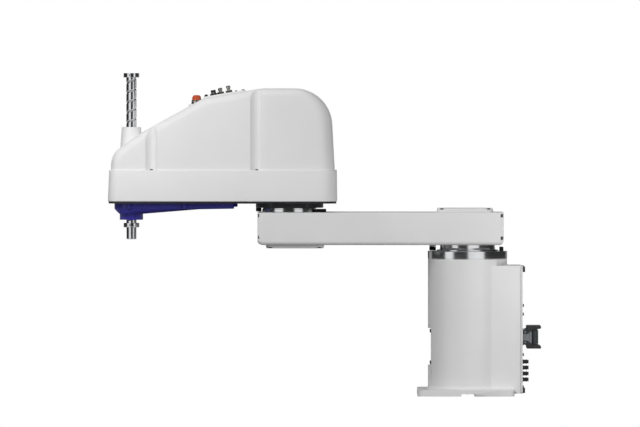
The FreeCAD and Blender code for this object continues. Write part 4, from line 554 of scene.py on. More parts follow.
def coverSheet(depth, low):
    # One face of the wall, depth inside the outer one. Returns a grid of points, rows along s.
    spots, normals = sideLine(low)
    keep = stations(spots)
    spots, normals = spots[keep], normals[keep]
    radius = edgeRound(spots)[:, None]
    roofX, roofZ = spots[:, :1] - normals[:, :1] * depth, spots[:, 1:] - normals[:, 1:] * depth
    corner = radius - depth
    # flat top, in columns: closely spaced in the middle, then spread to the edge
    middleHalf = cover["middleHalf"]
    middle = np.arange(0, middleHalf + 1, cover["middleGap"])
    share = np.linspace(0, 1, 7)[1:]
    edgeY = halfWidth(roofX - normals[:, :1] * corner) - radius
    outward = middleHalf + (edgeY - middleHalf) * share
    topY = np.concatenate([np.repeat(middle[None], len(spots), 0), outward], 1)
    topX, topZ = np.repeat(roofX, topY.shape[1], 1), np.repeat(roofZ, topY.shape[1], 1)
    # the upper edge: a quarter circle from the top to the wall
    arc = np.linspace(0, math.pi / 2, 12)[None, 1:]
    arcX = roofX - normals[:, :1] * corner * (1 - np.cos(arc))
    arcZ = roofZ - normals[:, 1:] * corner * (1 - np.cos(arc))
    arcY = halfWidth(arcX) - radius + corner * np.sin(arc)
    # the wall: straight rows down to the skirt, upright except near both ends
    footX = arcX[:, -1].copy()
    walk = np.concatenate([[0], np.cumsum(np.linalg.norm(np.diff(spots, axis=0), axis=1))])
    rearmost, foremost = cover["evenWall"]
    near, far = np.argmax(footX < foremost), len(footX) - 1 - np.argmax(footX[::-1] > rearmost)
    footX[:near] = np.interp(walk[:near], walk[[0, near]], footX[[0, near]])
    footX[far:] = np.interp(walk[far:], walk[[far, -1]], footX[[far, -1]])
    share = np.linspace(0, 1, 9)[None, 1:]
    wallX = arcX[:, -1:] + (footX[:, None] - arcX[:, -1:]) * share
    wallZ = arcZ[:, -1:] + (low - arcZ[:, -1:]) * share
    wallY = halfWidth(wallX) - depth
    x = np.concatenate([topX, arcX, wallX], 1)
    y = np.concatenate([topY, arcY, wallY], 1)
    z = np.concatenate([topZ, arcZ, wallZ], 1)
    # flutes: the wall stays outside an upright cylinder beside it
    for fluteX in cover["flutes"]:
        outside = halfWidth(np.array(fluteX)) + cover["fluteOffset"]
        reach = cover["fluteRadius"] + depth
        sunk = np.sqrt(np.clip(reach**2 - (x - fluteX) ** 2, 0, None))
        y = np.where(np.abs(x - fluteX) < reach, np.minimum(y, outside - sunk), y)
    left = np.stack([x, y, z], -1)[:, ::-1]
    right = np.stack([x, -y, z], -1)[:, 1:]
    return np.concatenate([left, right], 1)


def openHoles(outer, inner):
    # Marks the cells inside the two round holes, and pulls the points beside them onto the circles.
    rows, columns = outer.shape[:2]
    cut = np.zeros((rows - 1, columns - 1), bool)
    holes = [(cover["shaftX"], cover["chimneyHole"], None)]
    holes += [(cover["lampX"], cover["lampHole"], cover["lampFloor"])]
    for middleX, radius, floor in holes:
        away = outer[..., :2] - np.array([middleX, 0])
        far = np.linalg.norm(away, axis=-1)
        centres = (far[:-1, :-1] + far[1:, :-1] + far[:-1, 1:] + far[1:, 1:]) / 4
        cells = centres < radius
        cut |= cells
        touched = np.zeros((rows, columns), int)
        for i in (0, 1):
            for j in (0, 1):
                touched[i : rows - 1 + i, j : columns - 1 + j] += cells
        rim = (touched > 0) & (touched < 4)
        target = np.array([middleX, 0]) + away / np.maximum(far, 1e-9)[..., None] * radius
        slope = np.gradient(outer[:, columns // 2, 2]) / np.gradient(outer[:, columns // 2, 0])
        rise = (target[..., 0] - outer[..., 0]) * slope[:, None]
        for sheet, level in ((outer, None), (inner, floor)):
            sheet[rim, 2] += rise[rim]
            sheet[rim, :2] = target[rim]
            if level:
                sheet[rim, 2] = level
    return cut


def coverShell():
    # outer and inner sheets, joined along the foot, the ends and the holes' rims
    low = cover["skirtTop"] - 1
    outer, inner = coverSheet(0, low), coverSheet(cover["wall"], low)
    cut = openHoles(outer, inner)
    rows, columns = outer.shape[:2]
    quads = np.array(gridFaces(rows, columns))[~cut.reshape(-1)]
    edges = np.concatenate([np.stack([quads[:, k], quads[:, (k + 1) % 4]], -1) for k in range(4)])
    keys = edges[:, 0].astype(np.int64) * rows * columns + edges[:, 1]
    back = edges[:, 1].astype(np.int64) * rows * columns + edges[:, 0]
    rims = edges[~np.isin(keys, back)]
    shift = rows * columns
    bridge = np.stack([rims[:, 1], rims[:, 0], rims[:, 0] + shift, rims[:, 1] + shift], -1)
    faces = np.concatenate([quads, quads[:, ::-1] + shift, bridge])
    points = np.concatenate([outer.reshape(-1, 3), inner.reshape(-1, 3)])
    return points, faces.tolist()


def skirtCorners():
    step, (rearIn, frontIn) = cover["skirtStep"], cover["skirtEnds"]
    back, front = cover["rearLow"][0] + rearIn - step, cover["frontLow"][0] - frontIn + step
    rear, nose = cover["rearHalf"] + step, cover["frontHalf"] + step
    rearRound, frontRound = cover["skirtRear"], cover["skirtFront"]
    start = cover["taperStart"]
    corners = [(back, -rear, rearRound), (start, -rear, 300), (front, -nose, frontRound)]
    return corners + [(front, nose, frontRound), (start, rear, 300), (back, rear, rearRound)]


def skirtRing():
    # the plan's outline carries a closed profile of (inset, height)
    low, high = cover["frontLow"][1], cover["skirtTop"]
    draft = cover["skirtDraft"]
    profile = [(20, high - 4, 0), (4 + draft, high - 4, 1), (4, low, 0), (1.6, low, 0)]
    profile += [(0, low + 1.6, 0.6), (draft, high, 1.3), (20, high, 0)]
    loop = bent(skirtCorners(), bend=5)
    section = bent(profile, bend=15)
    loops = []
    for amount, level in section:
        back = cover["skirtLean"] * (level - low) / (high - low)
        loops.append(inset(loop, amount) - np.array([back, 0]))
    return stacked(loops, section[:, 1], ring=True)


def chimneyRing():
    # drafted pipe around the shaft, its foot sunk in the roof
    bore, (foot, low), (rim, high) = cover["chimneyBore"], cover["chimneyFoot"], cover["chimneyTop"]
    profile = [(bore, low, 0), (foot, low, 0), (rim, high, 1.6), (bore, high, 0.8)]
    return turned(profile, standing(cover["shaftX"]), count=96)


def lampSeat():
    high, low = cover["lampZ"], cover["lampZ"] - cover["seatDeep"]
    profile = [(0, low, 0), (cover["seatFoot"], low, 0), (cover["seatTop"], high, 1.6), (0, high, 0)]
    return turned(profile, standing(cover["lampX"]), closed=False)


piece("arm2Cover", joined(coverShell(), skirtRing(), chimneyRing(), lampSeat()), ["arm2_cover"], angle=38)
print("arm 2 cover done")


# Arm 1: beam, end plates with notches for their screws, and the two trays over the joints

arm1 = {
    "rear": -90,
    "front": 530,
    "low": 380,
    "high": 462.5,
    "half": 90,
    "lowRound": 10,
    "highRound": 3.5,
    "plate": 4.5,
    "rearPlate": 7.5,
    "tailLength": 5,
    "tailRise": 11,
    "tailRound": 2.2,
    "screwSide": 85.4,
    "screwLevels": (397.3, 454),
    "notch": 4.2,
    "noseLength": 15,
    "noseRise": 10.4,
    "tailBlend": 1.5,
    "tailEase": 0.6,
    "lip": 0.6,
    "trayTop": (64, 77, 72),
    "trayTopHigh": 10,
    "trayLow": (87, 59, 70),
    "trayLowHigh": 8.6,
    "trayRound": 14,
    "traySoft": 1.1,
    "trayScrewInset": 11,
    "trayScrewClear": 4.9,
    "ledgeDrop": 3.1,
    "elbowX": 450,
}


def endForms(form):
    # Near the front end the underside rises on a quarter ellipse, and what is above follows by its
    # share. Near the rear end the lowest part rises on a slope and the top edge drops on a circle.
    points, faces = form
    x, z = points[:, 0], points[:, 2].copy()
    past = np.clip((x - arm1["front"]) / arm1["noseLength"] + 1, 0, 1)
    lift = arm1["noseRise"] * (1 - np.sqrt(1 - past**2))
    share = np.clip((arm1["high"] - z) / (arm1["high"] - arm1["low"]), 0, 1)
    slope = arm1["tailRise"] * np.clip(1 - (x - arm1["rear"]) / arm1["tailLength"], 0, 1)
    lowest = np.clip(1 - (z - arm1["low"]) / (arm1["tailRise"] + arm1["tailBlend"]), 0, 1)
    past = np.clip(1 - (x - arm1["rear"]) / arm1["tailRound"], 0, 1)
    drop = (arm1["tailRound"] - arm1["tailEase"]) * (1 - np.sqrt(1 - past**2))
    highest = np.clip(1 - (arm1["high"] - z) / arm1["tailRound"], 0, 1)
    points[:, 2] += lift * share**2 + slope * lowest - drop * highest
    return points, faces


def beamSection(notches=()):
    # the beam's outline from its lower left corner, with the notches' corners on both sides
    half = arm1["half"]
    side = [(half, arm1["low"], arm1["lowRound"]), *notches, (half, arm1["high"], arm1["highRound"])]
    mirrored = [(-u, v, radius) for u, v, radius in side[::-1]]
    return bent(mirrored[-1:] + side + mirrored[:-1])


def beamForm():
    loop = beamSection()
    tail, nose = arm1["rear"] + arm1["rearPlate"], arm1["front"] - arm1["plate"]
    steps = [tail, tail + 0.5, nose - 28, *np.linspace(nose - 13, nose - 0.5, 9), nose]
    insets = [0.5] + [0] * (len(steps) - 2) + [0.5]
    loops = [inset(loop, amount) for amount in insets]
    return endForms(stacked(loops, steps, facingFront))


def endPlate(face, thick, axes):
    # the beam's section with a round-ended notch at each screw, open to the side
    notch = arm1["notch"]
    deep = arm1["screwSide"] - notch
    notches = []
    for level in arm1["screwLevels"]:
        low, high = level - notch, level + notch
        notches += [(arm1["half"], low, arm1["lip"]), (deep, low, notch - 0.1)]
        notches += [(deep, high, notch - 0.1), (arm1["half"], high, arm1["lip"])]
    # closely spaced near the outer face, where the ends are shaped
    depths = [thick, thick - 0.1, 3.4, 2.6, 1.8, 1.2, 0.8, 0.4, 0.12, 0]
    insets = [0.1, 0, 0, 0, 0, 0, 0, 0.1, 0.3, 0.55]
    levels = [(amount, -depth) for amount, depth in zip(insets, depths)]
    return endForms(profiled(beamSection(notches), levels, axes, abs(face)))


def coverTray(back, front, half, x, z, axes, high):
    # A tray whose corners drop to a ledge for a screw. Lower loops follow the rounded rectangle,
    # upper ones turn in around each screw; both have the same count of points.
    screwInset, clear = arm1["trayScrewInset"], arm1["trayScrewClear"]
    cornerRound, soft, ledge = arm1["trayRound"], arm1["traySoft"], high - arm1["ledgeDrop"]
    corners = [(front, half), (-back, half), (-back, -half), (front, -half)]
    lower, upper = [], []
    sweep = np.linspace(0, math.pi / 2, 13)
    for k, (u, v) in enumerate(corners):
        turn = k * math.pi / 2
        sideU, sideV = math.copysign(1, u), math.copysign(1, v)
        angles = turn + sweep
        centre = np.array([u - sideU * cornerRound, v - sideV * cornerRound])
        lower.append(centre + cornerRound * np.stack([np.cos(angles), np.sin(angles)], -1))
        screw = np.array([u - sideU * screwInset, v - sideV * screwInset])
        inner = turn + 1.5 * math.pi - sweep
        bow = screw + clear * np.stack([np.cos(inner), np.sin(inner)], -1)
        first, last = bow[0].copy(), bow[-1].copy()
        if k % 2 == 0:
            first[0], last[1] = u, v
        else:
            first[1], last[0] = v, u
        upper.append(np.concatenate([first[None], bow[1:-1], last[None]]))
    lower, upper = np.concatenate(lower), np.concatenate(upper)
    quarter = np.linspace(0, math.pi / 2, 4)
    loops = [lower, lower] + [inset(lower, soft * (1 - math.cos(a))) for a in quarter[1:]]
    heights = [0, ledge - soft] + [ledge - soft * (1 - math.sin(a)) for a in quarter[1:]]
    upper = inset(upper, 0.01)
    loops += [inset(upper, soft)] + [inset(upper, soft + soft * (1 - math.cos(a))) for a in quarter]
    heights += [ledge] + [high - soft * (1 - math.sin(a)) for a in quarter]
    return stacked(loops, heights, standing(x, z, axes))


def coverScrewSpots(back, front, half, z):
    away = arm1["trayScrewInset"]
    return [(x, side * (half - away), z) for x in (away - back, front - away) for side in (1, -1)]


trayTop, trayLow = arm1["trayTop"], arm1["trayLow"]
elbow = arm1["elbowX"]
piece("arm1Beam", beamForm(), ["arm1_casting"])
piece("arm1RearPlate", endPlate(arm1["rear"], arm1["rearPlate"], facingRear), ["arm1_rear_end_plate"])
piece("arm1FrontPlate", endPlate(arm1["front"], arm1["plate"], facingFront), ["arm1_front_end_plate"])
topTray = coverTray(*trayTop, 0, arm1["high"], flat, arm1["trayTopHigh"])
piece("arm1TopCover", topTray, ["arm1_top_cover"])
lowTray = coverTray(*trayLow, elbow, arm1["low"], facingDown, arm1["trayLowHigh"])
piece("arm1BottomCover", lowTray, ["arm1_bottom_cover"])

endScrew = capScrew(3.4, 2.6, 1.6)
tailScrew = capScrew(3.4, 5.4, 1.6)
ends = [(side * arm1["screwSide"], level) for side in (1, -1) for level in arm1["screwLevels"]]
rearEnds = [(arm1["rear"] + arm1["rearPlate"], *spot) for spot in ends]
frontEnds = [(arm1["front"] - arm1["plate"], *spot) for spot in ends]
endScrews = joined(moved(tailScrew, rearEnds, facingRear), moved(endScrew, frontEnds, facingFront))
piece("arm1EndScrews", endScrews, ["arm1_end_screws"])
trayScrew = capScrew(3.8, 2.9, 1.7)
ledges = [arm1[high] - arm1["ledgeDrop"] for high in ("trayTopHigh", "trayLowHigh")]
topSpots = coverScrewSpots(*trayTop, arm1["high"] + ledges[0])
lowSpots = coverScrewSpots(trayLow[0] - elbow, trayLow[1] + elbow, trayLow[2], arm1["low"] - ledges[1])
trayScrews = joined(moved(trayScrew, topSpots), moved(trayScrew, lowSpots, facingDown))
piece("arm1CoverScrews", trayScrews, ["arm1_cover_screws"])
print("arm 1 done")


# Joints 1 and 2: polished rings, hub and flange, their stops

joint1 = {
    "ring": 100.4,
    "bore": 70,
    "low": 344,
    "high": 364,
    "hub": 69.3,
    "hubFoot": 77.5,
    "hubTop": 382.5,
    "pilot": 54.9,
    "post": 90,
    "postAngle": 162,
}
joint2 = {
    "ring": 69,
    "bore": 52,
    "low": 462.5,
    "high": 473,
    "flange": 85.4,
    "flangeTall": 11.2,
    "flat": 72.6,
    "pilot": 39.9,
    "stop": 12.4,
}


def joint1Forms():
    ring, bore, low, high = joint1["ring"], joint1["bore"], joint1["low"], joint1["high"]
    profile = [(bore, low, 0), (ring - 0.6, low, 0), (ring - 0.6, low + 1.2, 0), (ring, low + 1.8, 0)]
    profile += [(ring, high, 1.1), (bore, high, 0)]
    piece("joint1Ring", turned(profile, count=144), ["j1_reducer_ring"])
    foot, top = high + 0.3, joint1["hubTop"]
    hub, wide, pilot = joint1["hub"], joint1["hubFoot"], joint1["pilot"]
    profile = [(20, foot - 14, 0), (pilot, foot - 14, 0), (pilot, foot, 0), (wide, foot, 0.4)]
    profile += [(wide, foot + 3, 0.6), (hub + 1.5, foot + 3, 1), (hub, foot + 8, 1.5)]
    profile += [(hub, top, 0), (20, top, 0)]
    piece("joint1Hub", turned(profile, count=128), ["j1_output_hub"])
    angle = math.radians(joint1["postAngle"])
    x, y = joint1["post"] * math.cos(angle), joint1["post"] * math.sin(angle)
    post = capScrew(4.8, 10.3, 2.4)
    piece("joint1Posts", moved(post, [(x, y, high), (x, -y, high)]), ["j1_stop_posts"])
    block = slab(rectangle(80, 96.6, -9, 9, 2), 365.5, top, 0.8)
    piece("joint1StopBlock", block, ["j1_stop_block"], look="stop_block")


def flatSided(radius, angle, height):
    # two flats face the sides: there the radius ends at flat / |sin(angle)|
    reach = joint2["flat"] / np.maximum(np.abs(np.sin(angle)), 1e-6)
    return np.where(radius > 60, np.minimum(radius, reach - (joint2["flange"] - radius) * 0.5), radius)


def joint2Forms():
    ring, bore, low, high = joint2["ring"], joint2["bore"], joint2["low"], joint2["high"]
    at = standing(elbow)
    profile = [(bore, low, 0), (ring, low, 0), (ring, high - 3, 0.4), (ring - 1.5, high - 3, 0.2)]
    profile += [(ring - 1.5, high, 0.6), (bore, high, 0)]
    piece("joint2Ring", turned(profile, at, count=128), ["j2_reducer_ring"])
    foot, radius, pilot = high + 0.3, joint2["flange"], joint2["pilot"]
    top = foot + joint2["flangeTall"]
    flange = [(15, foot - 16, 0), (pilot, foot - 16, 0), (pilot, foot, 0), (radius, foot, 1.4)]
    flange += [(radius, top, 0), (15, top, 0)]
    piece("joint2Flange", turned(flange, at, count=240, reach=flatSided), ["j2_output_flange"])
    low, high = boxOf("j2_stop_blocks")
    blocks = []
    for side in (1, -1):
        near, far = sorted((side * (high[1] - joint2["stop"]), side * high[1]))
        blocks.append(slab(rectangle(low[0], high[0], near, far, 1.5), low[2], high[2], 0.7))
    piece("joint2StopBlocks", joined(*blocks), ["j2_stop_blocks"])
    low, high = boxOf("j2_moving_stop")
    bumper = slab(rectangle(low[0], high[0], low[1], high[1], 2), low[2], high[2], 0.6)
    piece("joint2Bumper", bumper, ["j2_moving_stop"])


joint1Forms()
joint2Forms()
print("joints done")


# Ball screw spline shaft: a surface r(angle, height) = radius less the grooves' depth

shaft = {
    "x": 850,
    "seat": 12.5,
    "shoulder": 423.3,
    "radius": 12.8,
    "bore": 9,
    "low": 393.5,
    "high": 813.5,
    "grooveStart": 440,
    "lead": 25,
    "ball": 2.6,
    "deep": 1.5,
    "splineBall": 1.9,
    "splineDeep": 1.3,
    "splines": 3,
    "collar": 19.85,
    "collarTall": 11,
    "collarLow": 423.6,
    "count": 120,
}


def grooveDepth(distance, ball, deep):
    # depth of a round groove at a distance from its middle
    sunk = np.sqrt(np.clip(ball**2 - distance**2, 0, None)) - (ball - deep)
    return np.clip(sunk, 0, None)


def shaftForm():
    radius, low, high, lead = shaft["radius"], shaft["low"], shaft["high"], shaft["lead"]
    count = shaft["count"]
    angle = np.linspace(0, 2 * math.pi, count, endpoint=False)[None]
    step = shaft["shoulder"]
    plain = np.array([low + 1, low + 2, step - 1, step, step + 0.05, step + 1, shaft["grooveStart"] - 1])
    height = np.concatenate([plain, np.arange(shaft["grooveStart"], high - 1, 1.0), [high - 1]])[:, None]
    lean = math.cos(math.atan(lead / (2 * math.pi * radius)))
    turnsUp = (height / lead - angle / (2 * math.pi)) % 1
    ballGroove = grooveDepth((turnsUp - 0.5) * lead * lean, shaft["ball"], shaft["deep"])
    pitch = 2 * math.pi / shaft["splines"]
    beside = ((angle + pitch / 3) % pitch - pitch / 2) * radius
    splineGroove = grooveDepth(beside, shaft["splineBall"], shaft["splineDeep"])
    runIn = np.clip((height - shaft["grooveStart"]) / 6, 0, 1)
    around = np.where(height > step, radius, shaft["seat"])
    r = around - np.maximum(ballGroove, splineGroove) * runIn
    side = np.stack([r * np.cos(angle), r * np.sin(angle), height + 0 * r], -1)

    def hoop(r1, z1):
        return np.stack([r1 * np.cos(angle[0]), r1 * np.sin(angle[0]), z1 + 0 * angle[0]], -1)[None]

    bore = shaft["bore"]
    ends = [hoop(bore, low), hoop(shaft["seat"] - 1, low)], [hoop(radius - 0.8, high), hoop(bore, high)]
    grid = np.concatenate([*ends[0], side, *ends[1]])
    points = grid.reshape(-1, 3) + np.array([shaft["x"], 0, 0])
    return points, gridFaces(grid.shape[0], count, closeRows=True, closeColumns=True)


def collarForm():
    tall, radius, bore = shaft["collarTall"], shaft["collar"], shaft["radius"] + 0.02
    profile = [(bore, 0, 0.4), (radius, 0, 0.7), (radius, tall, 0.7), (bore, tall, 0.4)]
    levels = [shaft["collarLow"], shaft["high"] - tall]
    rings = moved(turned(profile, count=96), [(shaft["x"], 0, level) for level in levels])
    clamp = capScrew(2.6, 2, 1.3)
    sides = ((0, 0, 0), (1, 0, 0), (0, 0, -1), (0, 1, 0))
    heads = [(shaft["x"] + 3, radius - 1.6, level + tall / 2) for level in levels]
    return joined(rings, moved(clamp, heads, sides))


piece("splineShaft", shaftForm(), ["spline_shaft"], angle=60)
piece("shaftCollars", collarForm(), ["shaft_collars"], look="ground_steel")
print("shaft done")


# On the roof: panel, signal connector, air ports, brake button, lamp

roof = {
    "x": 614,
    "z": 758.4,
    "lean": 9.8,
    "thick": 4,
    "connectorAt": 27,
    "ports": ((9, 15), (-12, 17)),
    "buttonAt": 46.5,
    "screwsAt": (-47.5, -30),
    "screwSide": 28,
    "lampRibs": 24,
    "ribDepth": 0.16,
}


def onRoof(along=0, across=0, up=0):
    # axes that lie on the sloping roof: across is +Y, out is the roof's normal
    lean = math.radians(roof["lean"])
    forward = np.array([math.cos(lean), 0, -math.sin(lean)])
    normal = np.array([math.sin(lean), 0, math.cos(lean)])
    origin = np.array([roof["x"], 0, roof["z"]]) + along * forward + up * normal + np.array([0, across, 0])
    return origin, forward, (0, 1, 0), normal


def panelForms():
    top, middle = roof["thick"], roof["connectorAt"]
    piece("userPanel", slab(rectangle(-53, 53, -35, 35, 6), -1.5, top, 1.4, onRoof()), ["user_panel"])
    foot = slab(rectangle(-9, 9, -27, 27, 3), 0, 4, 0.8, onRoof(middle, 0, top))
    # the shell is a ring: its outline carries a closed profile of (inset, height)
    loop = bent(rectangle(-6, 6, -20, 20, 4))
    profile = bent([(3, 4, 0), (0, 4, 0), (0, 13, 0.4), (1.4, 13, 0.4), (1.4, 6, 0), (3, 6, 0)], bend=30)
    axes = onRoof(middle, 0, top)
    shell = profiled(loop, profile, axes, ring=True)
    floor = slab(rectangle(-4, 4, -18, 18, 3), 3.5, 6.5, 0.3, axes)
    piece("signalConnector", joined(foot, shell, floor), ["signal_connector"])
    pin = turned([(0, 0, 0), (0.6, 0, 0), (0.6, 4.6, 0.5), (0, 4.6, 0)], count=10, closed=False)
    rows = [(1.6, (k - 4) * 3.4) for k in range(9)] + [(-1.6, (k - 3.5) * 3.4) for k in range(8)]
    pins = [onRoof(middle + along, across, top + 6.4)[0] for along, across in rows]
    extra("connectorPins", moved(pin, pins, onRoof()), "signal_connector", "nickel")
    spots = [onRoof(middle, side * 23.6, top + 4)[0] for side in (1, -1)]
    extra("connectorScrews", moved(capScrew(2.4, 3, 1.1), spots, onRoof()), "signal_connector", "nickel")


def airPorts():
    ports = []
    for along, tall in roof["ports"]:
        profile = [(3, tall - 9, 0), (3, tall, 0.3), (4.9, tall, 0.8), (5.5, tall - 2.5, 0.6)]
        profile += [(5.5, tall - 5.5, 0.6), (4.4, tall - 6.5, 0.4), (4.4, 6, 0.5), (5.2, 5.2, 0), (0, 5.2, 0)]
        ports.append(turned(profile, onRoof(along, 0, roof["thick"]), count=48, closed=False))
        corner = 7.4 / math.cos(math.pi / 6)
        nut = bent([(corner * math.cos(a), corner * math.sin(a), 0.5) for a in np.arange(6) * math.pi / 3])
        levels = [(0.5, 0), (0, 0.5), (0, 4.8), (0.7, 5.5)]
        axes = onRoof(along, 0, roof["thick"])
        ports.append(profiled(nut, levels, axes))
    piece("airPorts", joined(*ports), ["user_air_fittings"])
    sleeves = []
    for along, tall in roof["ports"]:
        sleeve = [(2.7, tall - 6, 0), (2.7, tall + 0.6, 0.2), (4.1, tall + 0.6, 0.5)]
        sleeve += [(4.1, tall - 0.5, 0), (3, tall - 0.5, 0), (3, tall - 6, 0)]
        sleeves.append(turned(sleeve, onRoof(along, 0, roof["thick"]), count=36))
    extra("airPortSleeves", joined(*sleeves), "user_air_fittings", "black_plastic")


def buttonForms():
    top, along = roof["thick"], roof["buttonAt"]
    bezel = [(3.95, 0, 0), (5.45, 0, 0), (4.95, 2, 0.5), (3.95, 2, 0.2)]
    piece("buttonBezel", turned(bezel, onRoof(along, 0, top), count=48), ["button_bezel"])
    button = [(0, -1.2, 0), (3.8, -1.2, 0), (3.8, 5, 0.9), (0, 5.2, 0)]
    form = turned(button, onRoof(along, 0, top), count=48, closed=False)
    piece("brakeButton", form, ["brake_release_button"])


def lampForms():
    at = standing(cover["lampX"], cover["lampZ"])
    base = [(0, 0, 0), (13.5, 0, 0.6), (13.5, 3.4, 0.3), (12.9, 4, 0), (12.9, 7.2, 0), (13.3, 7.8, 0.3)]
    base += [(12.6, 10.5, 0.5), (0, 10.5, 0)]
    piece("lampBase", turned(base, at, count=96, closed=False), ["lamp_base"])
    lens = [(0, 10.5, 0), (11.4, 10.5, 0), (11.4, 14.6, 1.5), (10.6, 19, 4), (7, 22.8, 5), (0, 23, 0)]

    def ribbed(radius, angle, height):
        # shallow upright ribs on the lens's side
        wave = roof["ribDepth"] * (1 + np.cos(roof["lampRibs"] * angle))
        return radius - wave * np.clip((height - 10.8) / 0.6, 0, 1) * np.clip((radius - 8) / 2, 0, 1)

    piece("lampLens", turned(lens, at, count=192, closed=False, reach=ribbed), ["lamp_lens"], angle=50)


panelForms()
airPorts()
buttonForms()
lampForms()
panelScrew = capScrew(2.9, 2, 1.3)
panelSpots = []
for along in roof["screwsAt"]:
    panelSpots += [onRoof(along, side * roof["screwSide"], roof["thick"])[0] for side in (1, -1)]
extra("panelScrews", moved(panelScrew, panelSpots, onRoof()), "user_panel", "screw_steel")
postSides = [(x, float(halfWidth(np.array(x))) - cover["postInset"]) for x in cover["flutes"]]
postSpots = [(x, side * across, cover["skirtTop"]) for x, across in postSides for side in (1, -1)]
piece("coverScrews", moved(capScrew(3.6, 2.8, 1.6), postSpots), ["arm2_cover_screws"])
print("roof done")


# Base: connector box and its fittings

base = {
    "accessSide": 33,
    "accessLevels": (82.1, 161.9),
    "bigSide": 71,
    "bigLevels": (14, 319),
    "smallSide": 74,
    "smallLevels": (228, 206, 104),
    "fittingSide": 22.5,
    "fittingTop": 84.7,
    "fittingStep": 15,
    "blueScrewsAt": (715, 855),
    "blueScrewSide": 47,
    "blueScrewLevel": 471,
}


def bothSides(x, side, levels):
    return [(x, way * side, level) for way in (1, -1) for level in levels]


def accessPlate():
    low, high = boxOf("front_access_plate")
    outline = rectangle(low[1], high[1], low[2], high[2], 3)
    piece("accessPlate", slab(outline, low[0], high[0], 0.8, facingFront), ["front_access_plate"])
    spots = bothSides(high[0], base["accessSide"], base["accessLevels"])
    piece("accessScrews", moved(capScrew(3.8, 3, 1.7), spots, facingFront), ["front_plate_screws"])


def rearPlate():
    low, high = boxOf("rear_plate")
    outline = rectangle(low[1], high[1], low[2], high[2], 6)
    piece("rearPlate", slab(outline, -high[0], -low[0], 0.9, facingRear), ["rear_plate"])
    big = bothSides(low[0], base["bigSide"], base["bigLevels"])
    piece("rearBigScrews", moved(capScrew(7, 6, 3.2), big, facingRear), ["rear_plate_big_screws"])
    small = bothSides(low[0], base["smallSide"], base["smallLevels"])
    piece("rearSmallScrews", moved(capScrew(3.8, 3, 1.7), small, facingRear), ["rear_plate_small_screws"])


connector = {"face": 138, "low": 126, "high": 168, "half": 45}


def connectorForms():
    face, half = connector["face"], connector["half"]
    loop = bent(rectangle(-half, half, connector["low"], connector["high"], 4))
    body = [(0, 0), (0, 3), (2, 3.8), (2, 16.5), (0.6, 18), (0.6, 23)]
    housing = profiled(loop, body, facingRear, face)
    pins = []
    for level in (160, 134):
        for side in (1, -1):
            axes = ((-145, 0, level), (1, 0, 0), (0, 0, -side), (0, side, 0))
            profile = [(0, 40, 0), (2.4, 40, 0), (2.4, 48.2, 0.4), (0, 48.2, 0)]
            pins.append(turned(profile, axes, count=24, closed=False))
    piece("connectorHousing", joined(housing, *pins), ["connector_housing"])
    seal = profiled(loop, [(1.6, 23), (1, 23.6), (1, 27.4), (1.6, 28)], facingRear, face)
    piece("connectorSeal", seal, ["connector_seal"])
    ridges = [(3, 28), (3, 29.2), (4.4, 29.9), (4.4, 31), (3, 31.8), (3, 33.4), (4.4, 34.2), (4.4, 35.2)]
    ridges += [(3, 36), (3, 38.4), (4.6, 40)]
    piece("connectorCap", profiled(loop, ridges, facingRear, face), ["connector_cap"])
    for end in ("Top", "Bottom"):
        dressed("lever" + end, "connector_lever_" + end.lower())


def airFittings():
    profile = [(0, 0, 0), (5.7, 0, 0), (5.7, 3.4, 0.5), (4.9, 4, 0.3), (4.9, 8.6, 0.4), (5.7, 9.4, 0.5)]
    profile += [(5.7, 12, 0.5), (3.9, 12.2, 0), (3.9, 13.4, 0), (5, 14, 0.4), (5, 16, 0.6), (3, 16, 0.4)]
    profile += [(3, 6, 0), (0, 6, 0)]
    levels = [base["fittingTop"] - base["fittingStep"] * k for k in range(4)]
    spots = [(-connector["face"], base["fittingSide"], level) for level in levels]
    form = turned(profile, count=48, closed=False)
    piece("airFittings", moved(form, spots, facingRear), ["air_fittings"])


accessPlate()
rearPlate()
connectorForms()
airFittings()
castings = {"baseCasting": "base_casting", "arm2Casting": "arm2_casting", "lowerCover": "lower_cover"}
for copyName, nodeName in castings.items():
    dressed(copyName, nodeName)
blueEnds = [(x, side * base["blueScrewSide"]) for x in base["blueScrewsAt"] for side in (1, -1)]
blueSpots = [(*spot, base["blueScrewLevel"]) for spot in blueEnds]
piece("lowerCoverScrews", moved(capScrew(3.8, 2, 1.7), blueSpots, facingDown), ["lower_cover_screws"])
print("base done")


# Light: an even surround, a soft sun from the camera's side, a weaker one from behind, a large lamp
# high at the picture's left and a small one low at its right

studio = {
    "surround": 0.345,
    "front": 0.31,
    "frontFrom": (0, 0.94, 0.34),
    "back": 0.24,
    "backFrom": (0.4, -1.0, 0.45),
    "key": 0.50,
    "keyAt": (1.2, 0.8, 1.1),
    "keySize": 0.8,
    "fill": 0.12,
    "fillAt": (-0.4, 0.55, 0.3),
    "fillSize": 0.3,
    "sunAngle": 40,
    "aim": (0.5, 0, 0.5),
    "dark": 0.03,
    "overhead": 0.75,
    "ceiling": (0.5, 0.95),
    "boxLow": 0.02,
    "boxHigh": 1.5,
    "boxEdge": 0.14,
    "floor": 0.2,
    "floorGloss": 0.3,
    "floorReach": 5,
    # strength, left and right edge and distance of each soft box
    "boxes": {
        "leftBox": (0.95, 3.1, 1.0, 1.22),
        "rightBox": (0.95, 0.05, -1.4, 1.22),
        "leftRearBox": (0.35, 2.2, 1.0, -1.6),
        "rightRearBox": (0.35, 0.05, -1.2, -1.6),
    },
}


